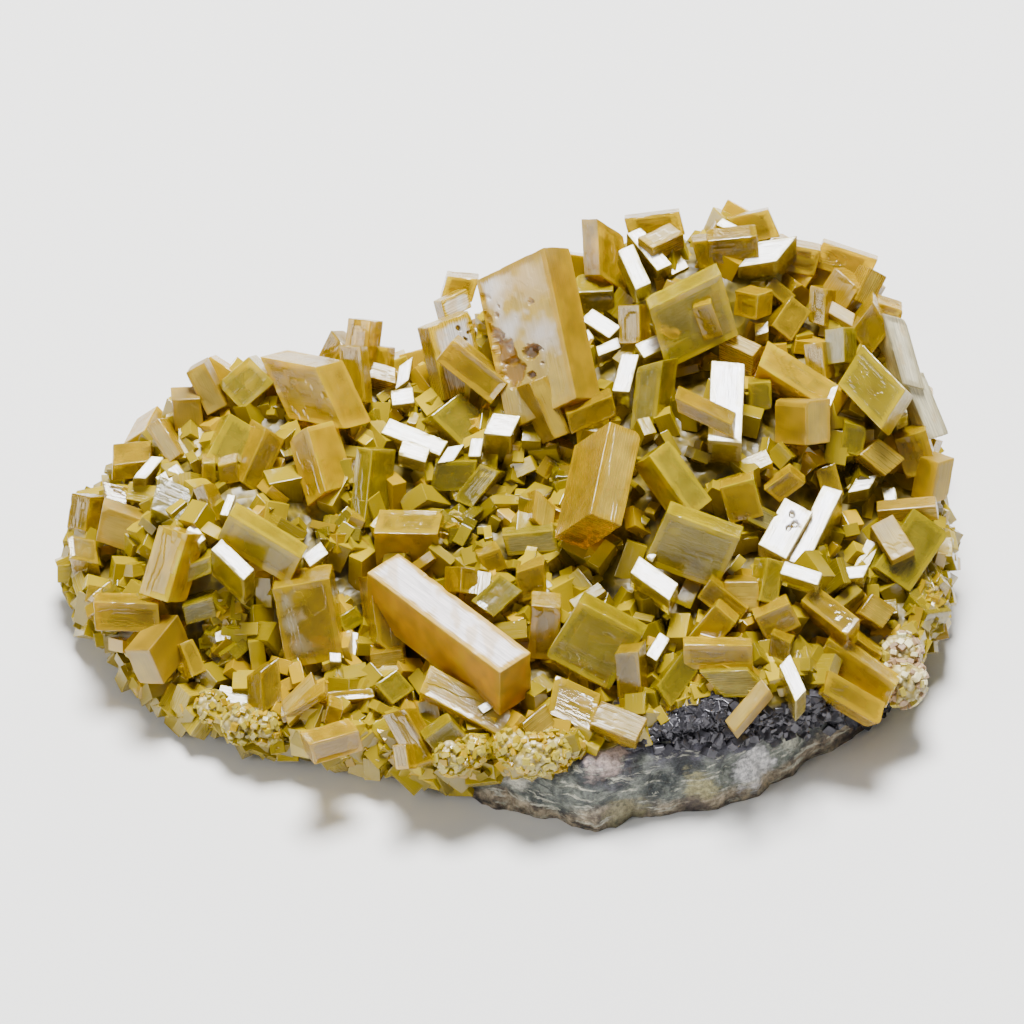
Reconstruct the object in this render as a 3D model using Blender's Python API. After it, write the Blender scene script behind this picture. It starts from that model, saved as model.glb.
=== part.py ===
"""Barite specimen: a crust of golden tabular crystals, grown together, on a slab of dark rock.

Metres, +Z up, the broad front towards -Y. Two solids: rock_matrix, which rests on its flat
underside, and barite_crystals, the crust with its crystals joined to it. The places of the crystals
were read by eye in a slanting front view from 45 degrees above, in view units of which
VIEW_WIDTH_UNITS make the specimen's width. There, across goes to the right and down goes down.
"""

import math
import random
from collections import namedtuple

import bmesh
import bpy
import numpy as np
from mathutils import Matrix, Vector, noise

MM = 0.001

# Size and view
SPECIMEN_WIDTH = 120 * MM
VIEW_WIDTH_UNITS = 885
UNIT = SPECIMEN_WIDTH / VIEW_WIDTH_UNITS
VIEW_MIDDLE_ACROSS = 507
VIEW_LOWEST_DOWN = 828
LOWEST_FRONT_Y = -40 * MM
VIEW_ELEVATION = math.radians(45)
VIEW_RIGHT = np.array((1.0, 0.0, 0.0))
VIEW_UP = np.array((0.0, math.sin(VIEW_ELEVATION), math.cos(VIEW_ELEVATION)))
VIEW_NEAR = np.array((0.0, -math.cos(VIEW_ELEVATION), math.sin(VIEW_ELEVATION)))

# From the middle of the readings to the middle of the finished specimen
ORIGIN_SHIFT = np.array((-0.475, -2.48, 0.0)) * MM

# Rock: plan outline of the underside, and the height of its top at places across, in mm
ROCK_OUTLINE = ((55, -10), (50, -19), (41, -27), (32, -34), (20, -37), (12, -39.5), (0, -35.5),
                (-10, -32), (-20, -27), (-34, -21), (-46, -14), (-52, -3), (-53, 8), (-45, 17),
                (-30, 22), (-12, 26), (5, 31), (22, 35), (38, 34), (49, 26), (55, 12))
ROCK_TOP = ((-55, 3), (-20, 2.5), (-8, 4.5), (7, 12), (28, 15), (41, 11), (49, 8), (57, 6))
ROCK_ROUNDNESS = 7
ROCK_ROUGHNESS = 1.1
ROCK_LUMP_SIZE = 11

# Crust: plan outline at its widest, and heights of its top at places (x, y, z), in mm
CRUST_OUTLINE = ((59, 4), (58, -7), (53, -17), (43, -27), (30, -32), (18, -35), (6, -36.5), (-8, -33.5),
                 (-20, -30), (-33, -27), (-45, -20), (-54, -9), (-59, 3), (-57, 13), (-49, 21),
                 (-30, 26), (-14, 27), (0, 33), (14, 38), (28, 40), (42, 38), (52, 29), (58, 16))
CRUST_HEIGHTS = ((-38, 4, 21), (-28, 24, 24), (-15, 18, 21), (-1, -3, 18), (26, 10, 29), (26, 34, 38),
                 (40, -12, 20), (34, -24, 16), (7, -36, 12), (-42, -24, 6), (-59, 4, 11), (60, 8, 15),
                 (5, 26, 28), (46, 26, 30), (-20, -22, 9), (49, -19, 9), (56, -7, 12))
CRUST_SOFTNESS = 5
CRUST_ROUNDNESS = 8
CRUST_ROUGHNESS = 1.5
CRUST_LUMP_SIZE = 9
CRUST_BELOW_ROCK_TOP = 1.5
CRUST_LOWEST = 2.5

GAP = 0.4
ROCK_DETAIL = 4
CRUST_DETAIL = 3
KNOB_DETAIL = 1
GROUND_CLEARANCE = 0.8 * MM
LARGEST_CHIP = 1 * MM**3

# A crystal's broad face leans away from the viewer towards the compass direction opposite its side:
# side 0 shows the crystal's right side, 90 its upper side. Thickness and rise are in mm.
FLASH = (270, 30)
ROOT_SHARE = 0.62
ROOT_DEPTH = 5
ROOT_FROM = 0.7

Crystal = namedtuple("Crystal", "name corner first second lean thick rise")
CRYSTALS = (
    Crystal("left end top", (91, 497), (86, 532), (72, 493), (0, 35), 4.5, 4),
    Crystal("left end low", (68, 534), (97, 540), (71, 558), (280, 35), 6, 3),
    Crystal("pencil", (205, 363), (227, 406), (186, 373), (60, 14), 4, 6),
    Crystal("behind pencil", (172, 400), (201, 399), (176, 432), (95, 30), 3.5, 4),
    Crystal("pale tile", (159, 418), (182, 454), (146, 428), (0, 30), 4, 4),
    Crystal("rounded block", (113, 465), (151, 461), (112, 481), (90, 35), 5, 3),
    Crystal("golden lump", (108, 503), (150, 513), (103, 481), (270, 25), 6, 4),
    Crystal("beige plate", (104, 506), (160, 525), (97, 541), (80, 15), 5, 5),
    Crystal("tall gold plate", (161, 525), (141, 593), (190, 534), (0, 30), 5, 6.5),
    Crystal("grey plate left", (186, 524), (152, 509), (195, 490), (270, 20), 5, 4),
    Crystal("wedge left", (205, 484), (219, 521), (194, 489), (10, 25), 4, 3),
    Crystal("ridge tablet", (217, 385), (249, 357), (243, 411), (20, 12), 5, 5),
    Crystal("sparkle tablet", (231, 413), (262, 432), (207, 458), (200, 15), 6, 5),
    Crystal("white edged gold", (268, 428), (243, 483), (286, 441), (150, 30), 5, 4.5),
    Crystal("left crest slab", (316, 368), (345, 430), (260, 357), (15, 40), 6, 7),
    Crystal("crest column back", (348, 318), (340, 385), (371, 321), (0, 25), 4, 5),
    Crystal("crest column front", (338, 345), (343, 402), (361, 346), (0, 20), 3, 6),
    Crystal("crest triangle", (331, 330), (318, 356), (343, 345), (0, 30), 4, 3),
    Crystal("crest small column", (372, 345), (370, 374), (388, 347), (0, 20), 3, 3),
    Crystal("crest pale block", (367, 360), (396, 367), (367, 377), (280, 30), 3, 3.5),
    Crystal("hexagonal block", (308, 426), (327, 492), (289, 441), (15, 42), 6, 6),
    Crystal("small pale 1", (339, 458), (336, 490), (353, 458), (0, 20), 3, 3),
    Crystal("tall olive block", (373, 450), (365, 528), (357, 447), (0, 40), 5, 4),
    Crystal("stepped flash block", (246, 580), (213, 549), (257, 569), FLASH, 6.8, 7),
    Crystal("long olive slab", (231, 514), (303, 558), (218, 541), (60, 30), 4, 5.5),
    Crystal("silky gold block", (274, 588), (288, 668), (331, 578), (80, 18), 7, 7),
    Crystal("low left bar", (96, 601), (161, 603), (98, 630), (85, 15), 5, 5),
    Crystal("left corner cube", (152, 649), (167, 683), (127, 649), (51, 50), 8, 6),
    Crystal("beside the cube", (196, 637), (209, 670), (182, 643), (200, 25), 4, 5),
    Crystal("grey block low left", (188, 625), (219, 616), (184, 606), (90, 20), 4, 3),
    Crystal("olive block low left", (188, 583), (214, 573), (187, 566), (90, 20), 4, 3),
    Crystal("chisel", (281, 656), (284, 699), (262, 670), (200, 30), 4, 5),
    Crystal("striped pale", (313, 670), (320, 693), (283, 700), (300, 20), 5, 4),
    Crystal("front left brick", (312, 742), (361, 728), (317, 762), (130, 40), 3.5, 5),
    Crystal("long thin bar", (321, 691), (376, 686), (321, 701), (270, 20), 3, 3.5),
    Crystal("beige block", (371, 653), (404, 648), (375, 682), (90, 15), 4, 4),
    Crystal("green block", (376, 683), (394, 703), (398, 668), (200, 20), 4, 5),
    Crystal("front tall block", (383, 713), (412, 765), (406, 706), (0, 25), 4, 4.5),
    Crystal("front olive block", (425, 737), (443, 757), (452, 717), (120, 25), 3, 4),
    Crystal("front blade", (500, 671), (368, 572), (531, 651), (270, 45), 8.2, 10),
    Crystal("blade root", (370, 576), (379, 642), (400, 600), (180, 15), 6, 6),
    Crystal("under the blade", (420, 690), (502, 735), (431, 663), (270, 20), 4, 4.5),
    Crystal("gold brick", (438, 534), (374, 533), (444, 510), (275, 45), 7, 6),
    Crystal("cap block", (462, 566), (461, 592), (479, 569), (180, 35), 4, 5),
    Crystal("yellow knob", (478, 556), (500, 548), (486, 576), (120, 20), 4, 4),
    Crystal("bright plate", (471, 600), (500, 574), (494, 616), (270, 20), 4, 5),
    Crystal("front gold 1", (515, 572), (518, 603), (544, 563), (90, 18), 4, 4.5),
    Crystal("front gold 2", (531, 604), (528, 657), (561, 607), (90, 30), 4, 5),
    Crystal("front plate", (578, 600), (544, 655), (642, 634), (60, 18), 5, 7),
    Crystal("front gold 3", (613, 652), (617, 700), (637, 650), (60, 30), 4, 6),
    Crystal("broken gold", (555, 672), (600, 692), (547, 711), (270, 20), 5, 5),
    Crystal("broken pale gold", (600, 698), (646, 716), (588, 721), (270, 20), 4, 5),
    Crystal("pale quad", (522, 721), (546, 701), (532, 742), (200, 20), 3, 4),
    Crystal("crossed plate", (436, 361), (491, 405), (453, 340), (45, 15), 4, 9),
    Crystal("white plate", (428, 328), (445, 401), (470, 311), (180, 22), 4, 6.5),
    Crystal("white step plate", (441, 301), (446, 320), (467, 288), (180, 22), 3, 6),
    Crystal("gold top left", (447, 276), (440, 300), (479, 279), (90, 12), 4, 4),
    Crystal("great plate", (544, 248), (576, 399), (476, 281), (0, 35), 6, 11),
    Crystal("olive shelf", (574, 293), (613, 291), (577, 326), (85, 35), 4.5, 4),
    Crystal("hexagon flash", (580, 320), (609, 339), (592, 308), FLASH, 3, 4.5),
    Crystal("drum column", (617, 306), (618, 345), (639, 305), (0, 25), 3.5, 6),
    Crystal("house crystal", (597, 219), (600, 276), (624, 236), (180, 35), 3.8, 6),
    Crystal("top flash 1", (635, 291), (617, 251), (651, 284), FLASH, 4, 7),
    Crystal("top flash 2", (657, 272), (626, 234), (672, 265), FLASH, 5, 5),
    Crystal("top pale block", (652, 249), (637, 238), (684, 234), (270, 40), 3, 6.5),
    Crystal("back plate 1", (624, 219), (679, 212), (630, 242), (90, 8), 4, 4),
    Crystal("top shelf", (707, 242), (757, 237), (709, 266), (100, 35), 3, 5),
    Crystal("top small 1", (691, 243), (699, 270), (707, 241), (90, 20), 3, 4),
    Crystal("back plate 2", (727, 219), (768, 210), (739, 246), (90, 8), 3, 4.5),
    Crystal("frosted top", (737, 268), (758, 242), (776, 262), FLASH, 6, 6),
    Crystal("back gold", (779, 243), (822, 251), (771, 269), (90, 15), 4, 4),
    Crystal("right back plate", (823, 242), (878, 260), (811, 266), (80, 12), 3, 5),
    Crystal("silky pale block", (870, 268), (854, 300), (887, 277), (160, 25), 4, 5),
    Crystal("right cube", (872, 303), (850, 332), (890, 330), (90, 20), 5, 4),
    Crystal("right plate", (861, 345), (904, 390), (836, 385), (320, 18), 5, 7),
    Crystal("roof crystal", (767, 341), (838, 386), (757, 366), (250, 30), 5, 6),
    Crystal("olive gold plate", (720, 275), (648, 310), (738, 336), (110, 22), 4.5, 7),
    Crystal("plate rider", (690, 309), (703, 342), (710, 304), (90, 30), 3, 7.5),
    Crystal("right gold cube", (757, 296), (755, 321), (734, 291), (20, 35), 4, 5),
    Crystal("diamond cube", (791, 296), (811, 312), (771, 326), (200, 20), 5, 4.5),
    Crystal("small gold 4", (774, 277), (796, 296), (764, 288), (200, 20), 4, 3.5),
    Crystal("tall gold column", (809, 285), (807, 322), (826, 290), (0, 20), 4, 5),
    Crystal("grey olive column", (823, 330), (824, 366), (843, 327), (0, 25), 4, 5),
    Crystal("small gold 5", (802, 345), (806, 382), (821, 342), (0, 20), 4, 4),
    Crystal("pale topped ledge", (752, 357), (718, 341), (761, 346), (270, 42), 4.5, 5),
    Crystal("grey silky", (643, 359), (634, 345), (681, 341), FLASH, 4, 4.5),
    Crystal("tall flash", (629, 393), (639, 355), (611, 392), FLASH, 4.6, 7),
    Crystal("olive ridge block", (662, 361), (655, 424), (636, 368), (10, 35), 3.8, 5.5),
    Crystal("great flash", (740, 444), (744, 364), (706, 441), FLASH, 8.7, 8),
    Crystal("crossing bar", (673, 398), (730, 425), (676, 413), (70, 30), 3.5, 9.5),
    Crystal("middle bar", (566, 415), (612, 396), (571, 435), (110, 20), 3.5, 6),
    Crystal("pale column", (546, 376), (571, 433), (529, 383), (200, 25), 4.5, 7),
    Crystal("flash topped column", (511, 437), (483, 434), (521, 416), FLASH, 9, 7),
    Crystal("great prism", (589, 514), (609, 422), (621, 526), (214, 32), 10.9, 12),
    Crystal("olive prism", (668, 440), (711, 500), (648, 456), (210, 35), 4.5, 6),
    Crystal("central plate", (665, 512), (738, 538), (642, 563), (70, 25), 4, 7.5),
    Crystal("flash brick", (668, 600), (629, 572), (677, 583), FLASH, 4, 7),
    Crystal("pale yellow block", (556, 507), (536, 489), (552, 536), (200, 25), 5, 5.5),
    Crystal("grey block", (502, 535), (553, 530), (508, 556), (90, 15), 4, 5),
    Crystal("olive tablet 1", (480, 464), (452, 500), (500, 472), (0, 15), 4, 4.5),
    Crystal("olive tablet 2", (436, 462), (430, 492), (478, 461), (90, 15), 4, 4),
    Crystal("long flash", (381, 433), (440, 456), (390, 418), FLASH, 3.5, 5.5),
    Crystal("grey tile", (398, 455), (403, 440), (426, 463), FLASH, 3, 6),
    Crystal("brown block", (431, 416), (464, 449), (461, 392), (210, 20), 5, 4.5),
    Crystal("olive small 3", (747, 384), (748, 412), (770, 382), (90, 15), 3, 4),
    Crystal("pale column right", (804, 402), (804, 446), (829, 399), (175, 40), 6.5, 8),
    Crystal("gold block right", (718, 488), (752, 479), (728, 525), (90, 18), 4, 5),
    Crystal("bright gold right", (762, 490), (788, 471), (778, 503), (90, 18), 3.5, 5.5),
    Crystal("grey olive right", (752, 502), (779, 515), (746, 521), (200, 18), 3.5, 5),
    Crystal("pitted flash", (811, 512), (784, 559), (783, 497), FLASH, 3, 6),
    Crystal("tall right flash", (804, 566), (841, 491), (784, 560), FLASH, 8, 6.5),
    Crystal("flash bar", (815, 585), (777, 573), (820, 572), FLASH, 3, 7),
    Crystal("pitted olive", (765, 557), (757, 600), (783, 562), (180, 25), 4, 5),
    Crystal("frosted bar", (875, 511), (934, 506), (878, 525), (90, 35), 2.5, 5.5),
    Crystal("pale olive block", (868, 526), (890, 561), (891, 514), (270, 20), 5, 7),
    Crystal("right lobe plate 1", (948, 533), (908, 592), (912, 508), (200, 18), 5, 5),
    Crystal("right lobe plate 2", (925, 540), (890, 586), (893, 518), (200, 18), 5, 4),
    Crystal("right end block", (937, 463), (930, 504), (954, 458), (160, 40), 4.5, 5),
    Crystal("frosted lump", (858, 455), (884, 476), (878, 438), (200, 20), 5, 7),
    Crystal("right gold", (893, 440), (905, 480), (925, 430), (90, 15), 5, 4.5),
    Crystal("right olive", (843, 422), (838, 452), (866, 428), (90, 15), 4, 4.5),
    Crystal("dark gold right", (814, 470), (823, 502), (834, 463), (200, 15), 4, 4),
    Crystal("rind upper", (882, 314), (902, 384), (905, 320), (180, 25), 8, 3),
    Crystal("rind lower", (903, 378), (929, 440), (923, 372), (180, 25), 8, 3),
    Crystal("ledge bar", (681, 643), (750, 644), (682, 668), (90, 22), 3, 6),
    Crystal("ledge gold 1", (708, 578), (746, 608), (695, 597), (60, 20), 3.5, 5),
    Crystal("ledge pale plate", (757, 581), (757, 612), (722, 581), (60, 15), 4, 4.5),
    Crystal("ledge gold 2", (713, 603), (686, 636), (734, 622), (60, 20), 4, 5),
    Crystal("ledge gold 3", (752, 617), (787, 602), (764, 640), (110, 20), 4, 5),
    Crystal("ledge long block", (798, 600), (843, 635), (812, 583), (270, 20), 5, 6),
    Crystal("ledge frosted", (856, 612), (880, 628), (870, 592), (200, 20), 5, 4.5),
    Crystal("ledge flash", (792, 700), (776, 664), (803, 688), FLASH, 5.5, 5.5),
    Crystal("ledge long gold", (825, 637), (893, 684), (814, 660), (60, 25), 3.5, 6.5),
    Crystal("ledge small", (855, 638), (880, 655), (845, 652), (90, 20), 4, 4),
    Crystal("ledge low gold", (826, 668), (882, 701), (820, 691), (200, 18), 4.5, 5),
    Crystal("ledge pale spear", (758, 676), (722, 718), (767, 688), (300, 20), 3, 4.5),
    Crystal("ledge grey", (697, 670), (745, 668), (722, 696), (90, 15), 4, 3),
    Crystal("ledge olive", (684, 646), (655, 684), (698, 668), (200, 18), 4, 4),
    Crystal("ledge pyramid", (768, 632), (788, 642), (765, 655), (60, 25), 4, 4),
)

# Knobs of pale crust where the crystals meet the rock: place in the view, and radius in mm
Knob = namedtuple("Knob", "name place radius")
KNOBS = (
    Knob("front knob 1", (512, 744), 2.6),
    Knob("front knob 2", (531, 752), 3.2),
    Knob("front knob 3", (552, 748), 3.0),
    Knob("front knob 4", (570, 742), 2.2),
    Knob("front knob 5", (452, 754), 2.6),
    Knob("front knob 6", (474, 748), 2.2),
    Knob("left knob 1", (214, 706), 2.4),
    Knob("left knob 2", (243, 722), 2.8),
    Knob("left knob 3", (266, 725), 2.6),
    Knob("right knob 1", (898, 654), 3.2),
    Knob("right knob 2", (900, 682), 3.6),
)

# Crystals of the hidden sides, placed by a seeded draw over the crust's edge
BACK_SEED = 11
BACK_COUNT = 48
BACK_BEARINGS = (24, 158)
BACK_PLAN = (0.84, 1.0)
BACK_SUNK = 0.12
BACK_ABOVE_ROCK = 4
BACK_LONG = (8, 17)
BACK_WIDE = (6, 11)
BACK_THICK = (2.8, 5.5)

CRYSTAL_COLOUR = (0.56, 0.36, 0.015, 1.0)
ROCK_COLOUR = (0.07, 0.08, 0.09, 1.0)


def outline_radius(outline, bearing):
    """Distance from the middle to the plan outline at a bearing, between its points by angle."""
    points = np.array(outline, float)
    angles = np.arctan2(points[:, 1], points[:, 0])
    radii = np.hypot(points[:, 0], points[:, 1])
    order = np.argsort(angles)
    return np.interp(bearing, angles[order], radii[order], period=2 * math.pi)


def rock_top(x, y):
    """Height in mm of the rock's top, which rises from the left to the right of the middle."""
    across, heights = zip(*ROCK_TOP)
    return np.interp(x, across, heights) + 0 * y


def crust_top(x, y):
    """Height in mm of the crust: the mean of the given heights, each weighed by its nearness."""
    given = np.array(CRUST_HEIGHTS, float)
    apart = (np.asarray(x)[..., None] - given[:, 0]) ** 2 + (np.asarray(y)[..., None] - given[:, 1]) ** 2
    weight = 1 / (apart + CRUST_SOFTNESS**2) ** 2
    return (weight * given[:, 2]).sum(-1) / weight.sum(-1)


def domed(up, plan, roundness):
    """Share of the full height at a share of the plan radius: flat, then falling to the edge."""
    return 0.0 if up <= 0 else (1 - min(plan, 1) ** roundness) ** (1 / roundness)


def lump(outline, roundness, roughness, lump_size, detail, height, floor, grow=0.0):
    """A closed lump of rock from a ball: outline in plan, domed to height(x, y) over floor(x, y)."""
    bm = bmesh.new()
    bmesh.ops.create_icosphere(bm, subdivisions=detail, radius=1)
    for vert in bm.verts:
        bearing = math.atan2(vert.co.y, vert.co.x)
        plan = math.hypot(vert.co.x, vert.co.y)
        radius = (outline_radius(outline, bearing) + grow) * plan
        x, y = radius * math.cos(bearing), radius * math.sin(bearing)
        low = float(floor(x, y))
        high = float(height(x, y)) + grow
        rough = roughness * noise.noise(Vector((x, y, 20 * vert.co.z)) / lump_size)
        z = low + (high - low) * domed(vert.co.z, plan, roundness)
        if vert.co.z > 0.05:
            x += rough
            y += rough
            z += rough * min(1, 3 * (1 - plan))
        vert.co = (x, y, z)
    bmesh.ops.transform(bm, matrix=Matrix.Scale(MM, 4), verts=bm.verts)
    bmesh.ops.translate(bm, vec=Vector(ORIGIN_SHIFT), verts=bm.verts)
    bmesh.ops.recalc_face_normals(bm, faces=bm.faces)
    return bm


def on_view(point):
    """Across and up in metres, in the plane of the view, of a reading in view units."""
    across = (point[0] - VIEW_MIDDLE_ACROSS) * UNIT
    lowest = LOWEST_FRONT_Y * VIEW_UP[1]
    return across, lowest + (VIEW_LOWEST_DOWN - point[1]) * UNIT


def crust_nearness(across, up):
    """How near the viewer, in metres, the line of sight through a place in the view meets the crust."""
    near = np.linspace(60, -60, 961)
    y = up / MM * VIEW_UP[1] + near * VIEW_NEAR[1]
    z = up / MM * VIEW_UP[2] + near * VIEW_NEAR[2]
    above = z - crust_top(np.full_like(near, across / MM), y)
    return near[np.argmax(above < 0)] * MM


def crystal_frame(crystal):
    """A crystal's centre, its three edge vectors and its distance above the crust, in metres."""
    corner, first, second = (np.array(on_view(p)) for p in crystal[1:4])
    middle = (first + second) / 2
    side, tilt = map(math.radians, crystal.lean)
    facing = (
        -math.sin(tilt) * math.cos(side) * VIEW_RIGHT
        - math.sin(tilt) * math.sin(side) * VIEW_UP
        + math.cos(tilt) * VIEW_NEAR
    )
    slope = math.tan(tilt) * np.array((math.cos(side), math.sin(side)))
    edges = [
        a[0] * VIEW_RIGHT + a[1] * VIEW_UP + (slope @ a) * VIEW_NEAR
        for a in (first - corner, second - corner)
    ]
    near = crust_nearness(*middle) + crystal.rise * MM
    face = middle[0] * VIEW_RIGHT + middle[1] * VIEW_UP + near * VIEW_NEAR
    depth = crystal.thick * MM * facing
    if np.cross(edges[0], edges[1]) @ depth < 0:
        edges.reverse()
    return face - depth / 2 + ORIGIN_SHIFT, edges[0], edges[1], depth


def crystal_mesh(crystal):
    """The crystal as a slanted box. One that stands clear of the crust narrows to a root in it."""
    centre, along, wide, depth = crystal_frame(crystal)
    placed = Matrix.Translation(centre) @ Matrix(np.column_stack((along, wide, depth))).to_4x4()
    bm = bmesh.new()
    bmesh.ops.create_cube(bm, size=1, matrix=placed)
    if crystal.rise > ROOT_FROM * crystal.thick:
        back = min(bm.faces, key=lambda f: f.calc_center_median().dot(Vector(depth)))
        root = bmesh.ops.extrude_discrete_faces(bm, faces=[back])["faces"][0]
        sunk = (max(crystal.rise - crystal.thick, 0) + ROOT_DEPTH) * MM
        bmesh.ops.scale(bm, vec=(ROOT_SHARE,) * 3, verts=root.verts,
                        space=Matrix.Translation(-root.calc_center_median()))
        bmesh.ops.translate(bm, vec=Vector(-sunk * VIEW_NEAR), verts=root.verts)
    return bm


def knob_mesh(knob):
    """A knob of pale crust: a coarse ball half sunk in what lies behind it."""
    across, up = on_view(knob.place)
    near = crust_nearness(across, up)
    centre = across * VIEW_RIGHT + up * VIEW_UP + near * VIEW_NEAR + ORIGIN_SHIFT
    bm = bmesh.new()
    bmesh.ops.create_icosphere(bm, subdivisions=KNOB_DETAIL, radius=knob.radius * MM,
                               matrix=Matrix.Translation(centre))
    return bm


def back_crystals():
    """(name, matrix) of the crystals on the hidden sides, which stand out of the crust's edge."""
    draw = random.Random(BACK_SEED)
    for number in range(BACK_COUNT):
        bearing = math.radians(draw.uniform(*BACK_BEARINGS))
        plan = draw.uniform(*BACK_PLAN)
        radius = outline_radius(CRUST_OUTLINE, bearing) * plan
        x, y = radius * math.cos(bearing), radius * math.sin(bearing)
        low = max(float(rock_top(x, y)), CRUST_LOWEST) + BACK_ABOVE_ROCK
        top = low + (float(crust_top(x, y)) - low) * domed(1, plan, CRUST_ROUNDNESS)
        place = Vector((x, y, draw.uniform(low, top)))
        outward = Vector((math.cos(bearing), math.sin(bearing), draw.uniform(0.2, 1.4))).normalized()
        size = [draw.uniform(*BACK_LONG), draw.uniform(*BACK_WIDE), draw.uniform(*BACK_THICK)]
        turn = outward.to_track_quat("X", "Z").to_matrix().to_4x4()
        spin = Matrix.Rotation(draw.uniform(0, math.pi), 4, "X")
        stretch = Matrix.Diagonal((*size, 1))
        place -= outward * (BACK_SUNK * size[0])
        placed = Matrix.Translation(place) @ turn @ spin @ stretch
        shift = Matrix.Translation(Vector(ORIGIN_SHIFT))
        yield f"back_crystal_{number:02d}", shift @ Matrix.Scale(MM, 4) @ placed


def material(name, colour, roughness, transmission=0.0):
    made = bpy.data.materials.new(name)
    made.use_nodes = True
    shader = made.node_tree.nodes["Principled BSDF"]
    shader.inputs["Base Color"].default_value = colour
    shader.inputs["Roughness"].default_value = roughness
    shader.inputs["Metallic"].default_value = 0
    shader.inputs["Transmission Weight"].default_value = transmission
    return made


def place(name, bm, collection, helper=False):
    """A named object from a bmesh. A helper shapes others and isn't a part."""
    mesh = bpy.data.meshes.new(name)
    bm.to_mesh(mesh)
    bm.free()
    made = bpy.data.objects.new(name, mesh)
    collection.objects.link(made)
    if helper:
        made.hide_render = True
        made.display_type = "WIRE"
    return made


def collection_named(name, hidden=False):
    made = bpy.data.collections.new(name)
    bpy.context.scene.collection.children.link(made)
    made.hide_render = hidden
    return made


def boolean(target, name, operation, **operand):
    """One join or cut. EXACT loses the whole crust in this many overlaps, so it isn't used."""
    made = target.modifiers.new(name, "BOOLEAN")
    made.operation = operation
    made.solver = "MANIFOLD"
    for key, value in operand.items():
        setattr(made, key, value)


def clean_shell(target):
    """Puts the joined mesh in place of its modifiers, less sealed pockets and loose chips."""
    bpy.context.view_layer.update()
    joined = target.evaluated_get(bpy.context.evaluated_depsgraph_get())
    mesh = bpy.data.meshes.new_from_object(joined)
    bm = bmesh.new()
    bm.from_mesh(mesh)
    unseen = set(bm.faces)
    while unseen:
        shell = [unseen.pop()]
        for face in shell:
            shared = [edge for edge in face.edges if len(edge.link_faces) == 2]
            reached = {near for edge in shared for near in edge.link_faces} & unseen
            shell.extend(reached)
            unseen -= reached
        middle = shell[0].verts[0].co
        volume = sum((f.calc_center_median() - middle).dot(f.normal) * f.calc_area() for f in shell) / 3
        if volume < LARGEST_CHIP:
            bmesh.ops.delete(bm, geom=shell, context="FACES")
    bm.to_mesh(mesh)
    bm.free()
    target.modifiers.clear()
    target.data = mesh


def rock(grow=0.0):
    return lump(ROCK_OUTLINE, ROCK_ROUNDNESS, ROCK_ROUGHNESS, ROCK_LUMP_SIZE, ROCK_DETAIL,
                rock_top, lambda x, y: 0.0, grow)


def crust():
    return lump(CRUST_OUTLINE, CRUST_ROUNDNESS, CRUST_ROUGHNESS, CRUST_LUMP_SIZE, CRUST_DETAIL,
                crust_top, lambda x, y: max(float(rock_top(x, y)) - CRUST_BELOW_ROCK_TOP, CRUST_LOWEST))


def ground():
    """A block that trims whatever would reach the surface that the rock rests on."""
    bm = bmesh.new()
    size = 2 * SPECIMEN_WIDTH
    placed = Matrix.Translation((0, 0, GROUND_CLEARANCE - size / 2)) @ Matrix.Scale(size, 4)
    bmesh.ops.create_cube(bm, size=1, matrix=placed)
    return bm


def build():
    for old in list(bpy.data.objects):
        bpy.data.objects.remove(old)
    parts = collection_named("barite_specimen")
    grown = collection_named("crystals_to_join", hidden=True)
    cutters = collection_named("cutters", hidden=True)

    matrix_part = place("rock_matrix", rock(), parts)
    matrix_part.data.materials.append(material("dark_rock", ROCK_COLOUR, 0.7))

    for number, crystal in enumerate(CRYSTALS):
        name = f"{number:03d}_" + crystal.name.replace(" ", "_")
        place(name, crystal_mesh(crystal), grown, helper=True)
    for knob in KNOBS:
        place(knob.name.replace(" ", "_"), knob_mesh(knob), grown, helper=True)
    for name, placed in back_crystals():
        bm = bmesh.new()
        bmesh.ops.create_cube(bm, size=1, matrix=placed)
        place(name, bm, grown, helper=True)

    crystals = place("barite_crystals", crust(), parts)
    crystals.data.materials.append(material("golden_barite", CRYSTAL_COLOUR, 0.15, 0.5))
    boolean(crystals, "grown together", "UNION", operand_type="COLLECTION", collection=grown)
    boolean(crystals, "rock below", "DIFFERENCE",
            object=place("rock_with_gap", rock(GAP), cutters, helper=True))
    boolean(crystals, "clear of the ground", "DIFFERENCE",
            object=place("ground_trim", ground(), cutters, helper=True))
    clean_shell(crystals)


build()
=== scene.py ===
"""Looks of a barite specimen: golden, see-through tabular crystals on a slab of dark banded rock.

The frame holds the plain solids. Each piece here is a surface worked out with numpy in millimetres
and stands in the place of the solid that it refines. The crystals' places were read in a
slanting front view, in view units, where across goes to the right and down goes down.
"""

import math
import random
from collections import namedtuple

import bpy
import numpy as np
from mathutils import Matrix, Vector


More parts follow.
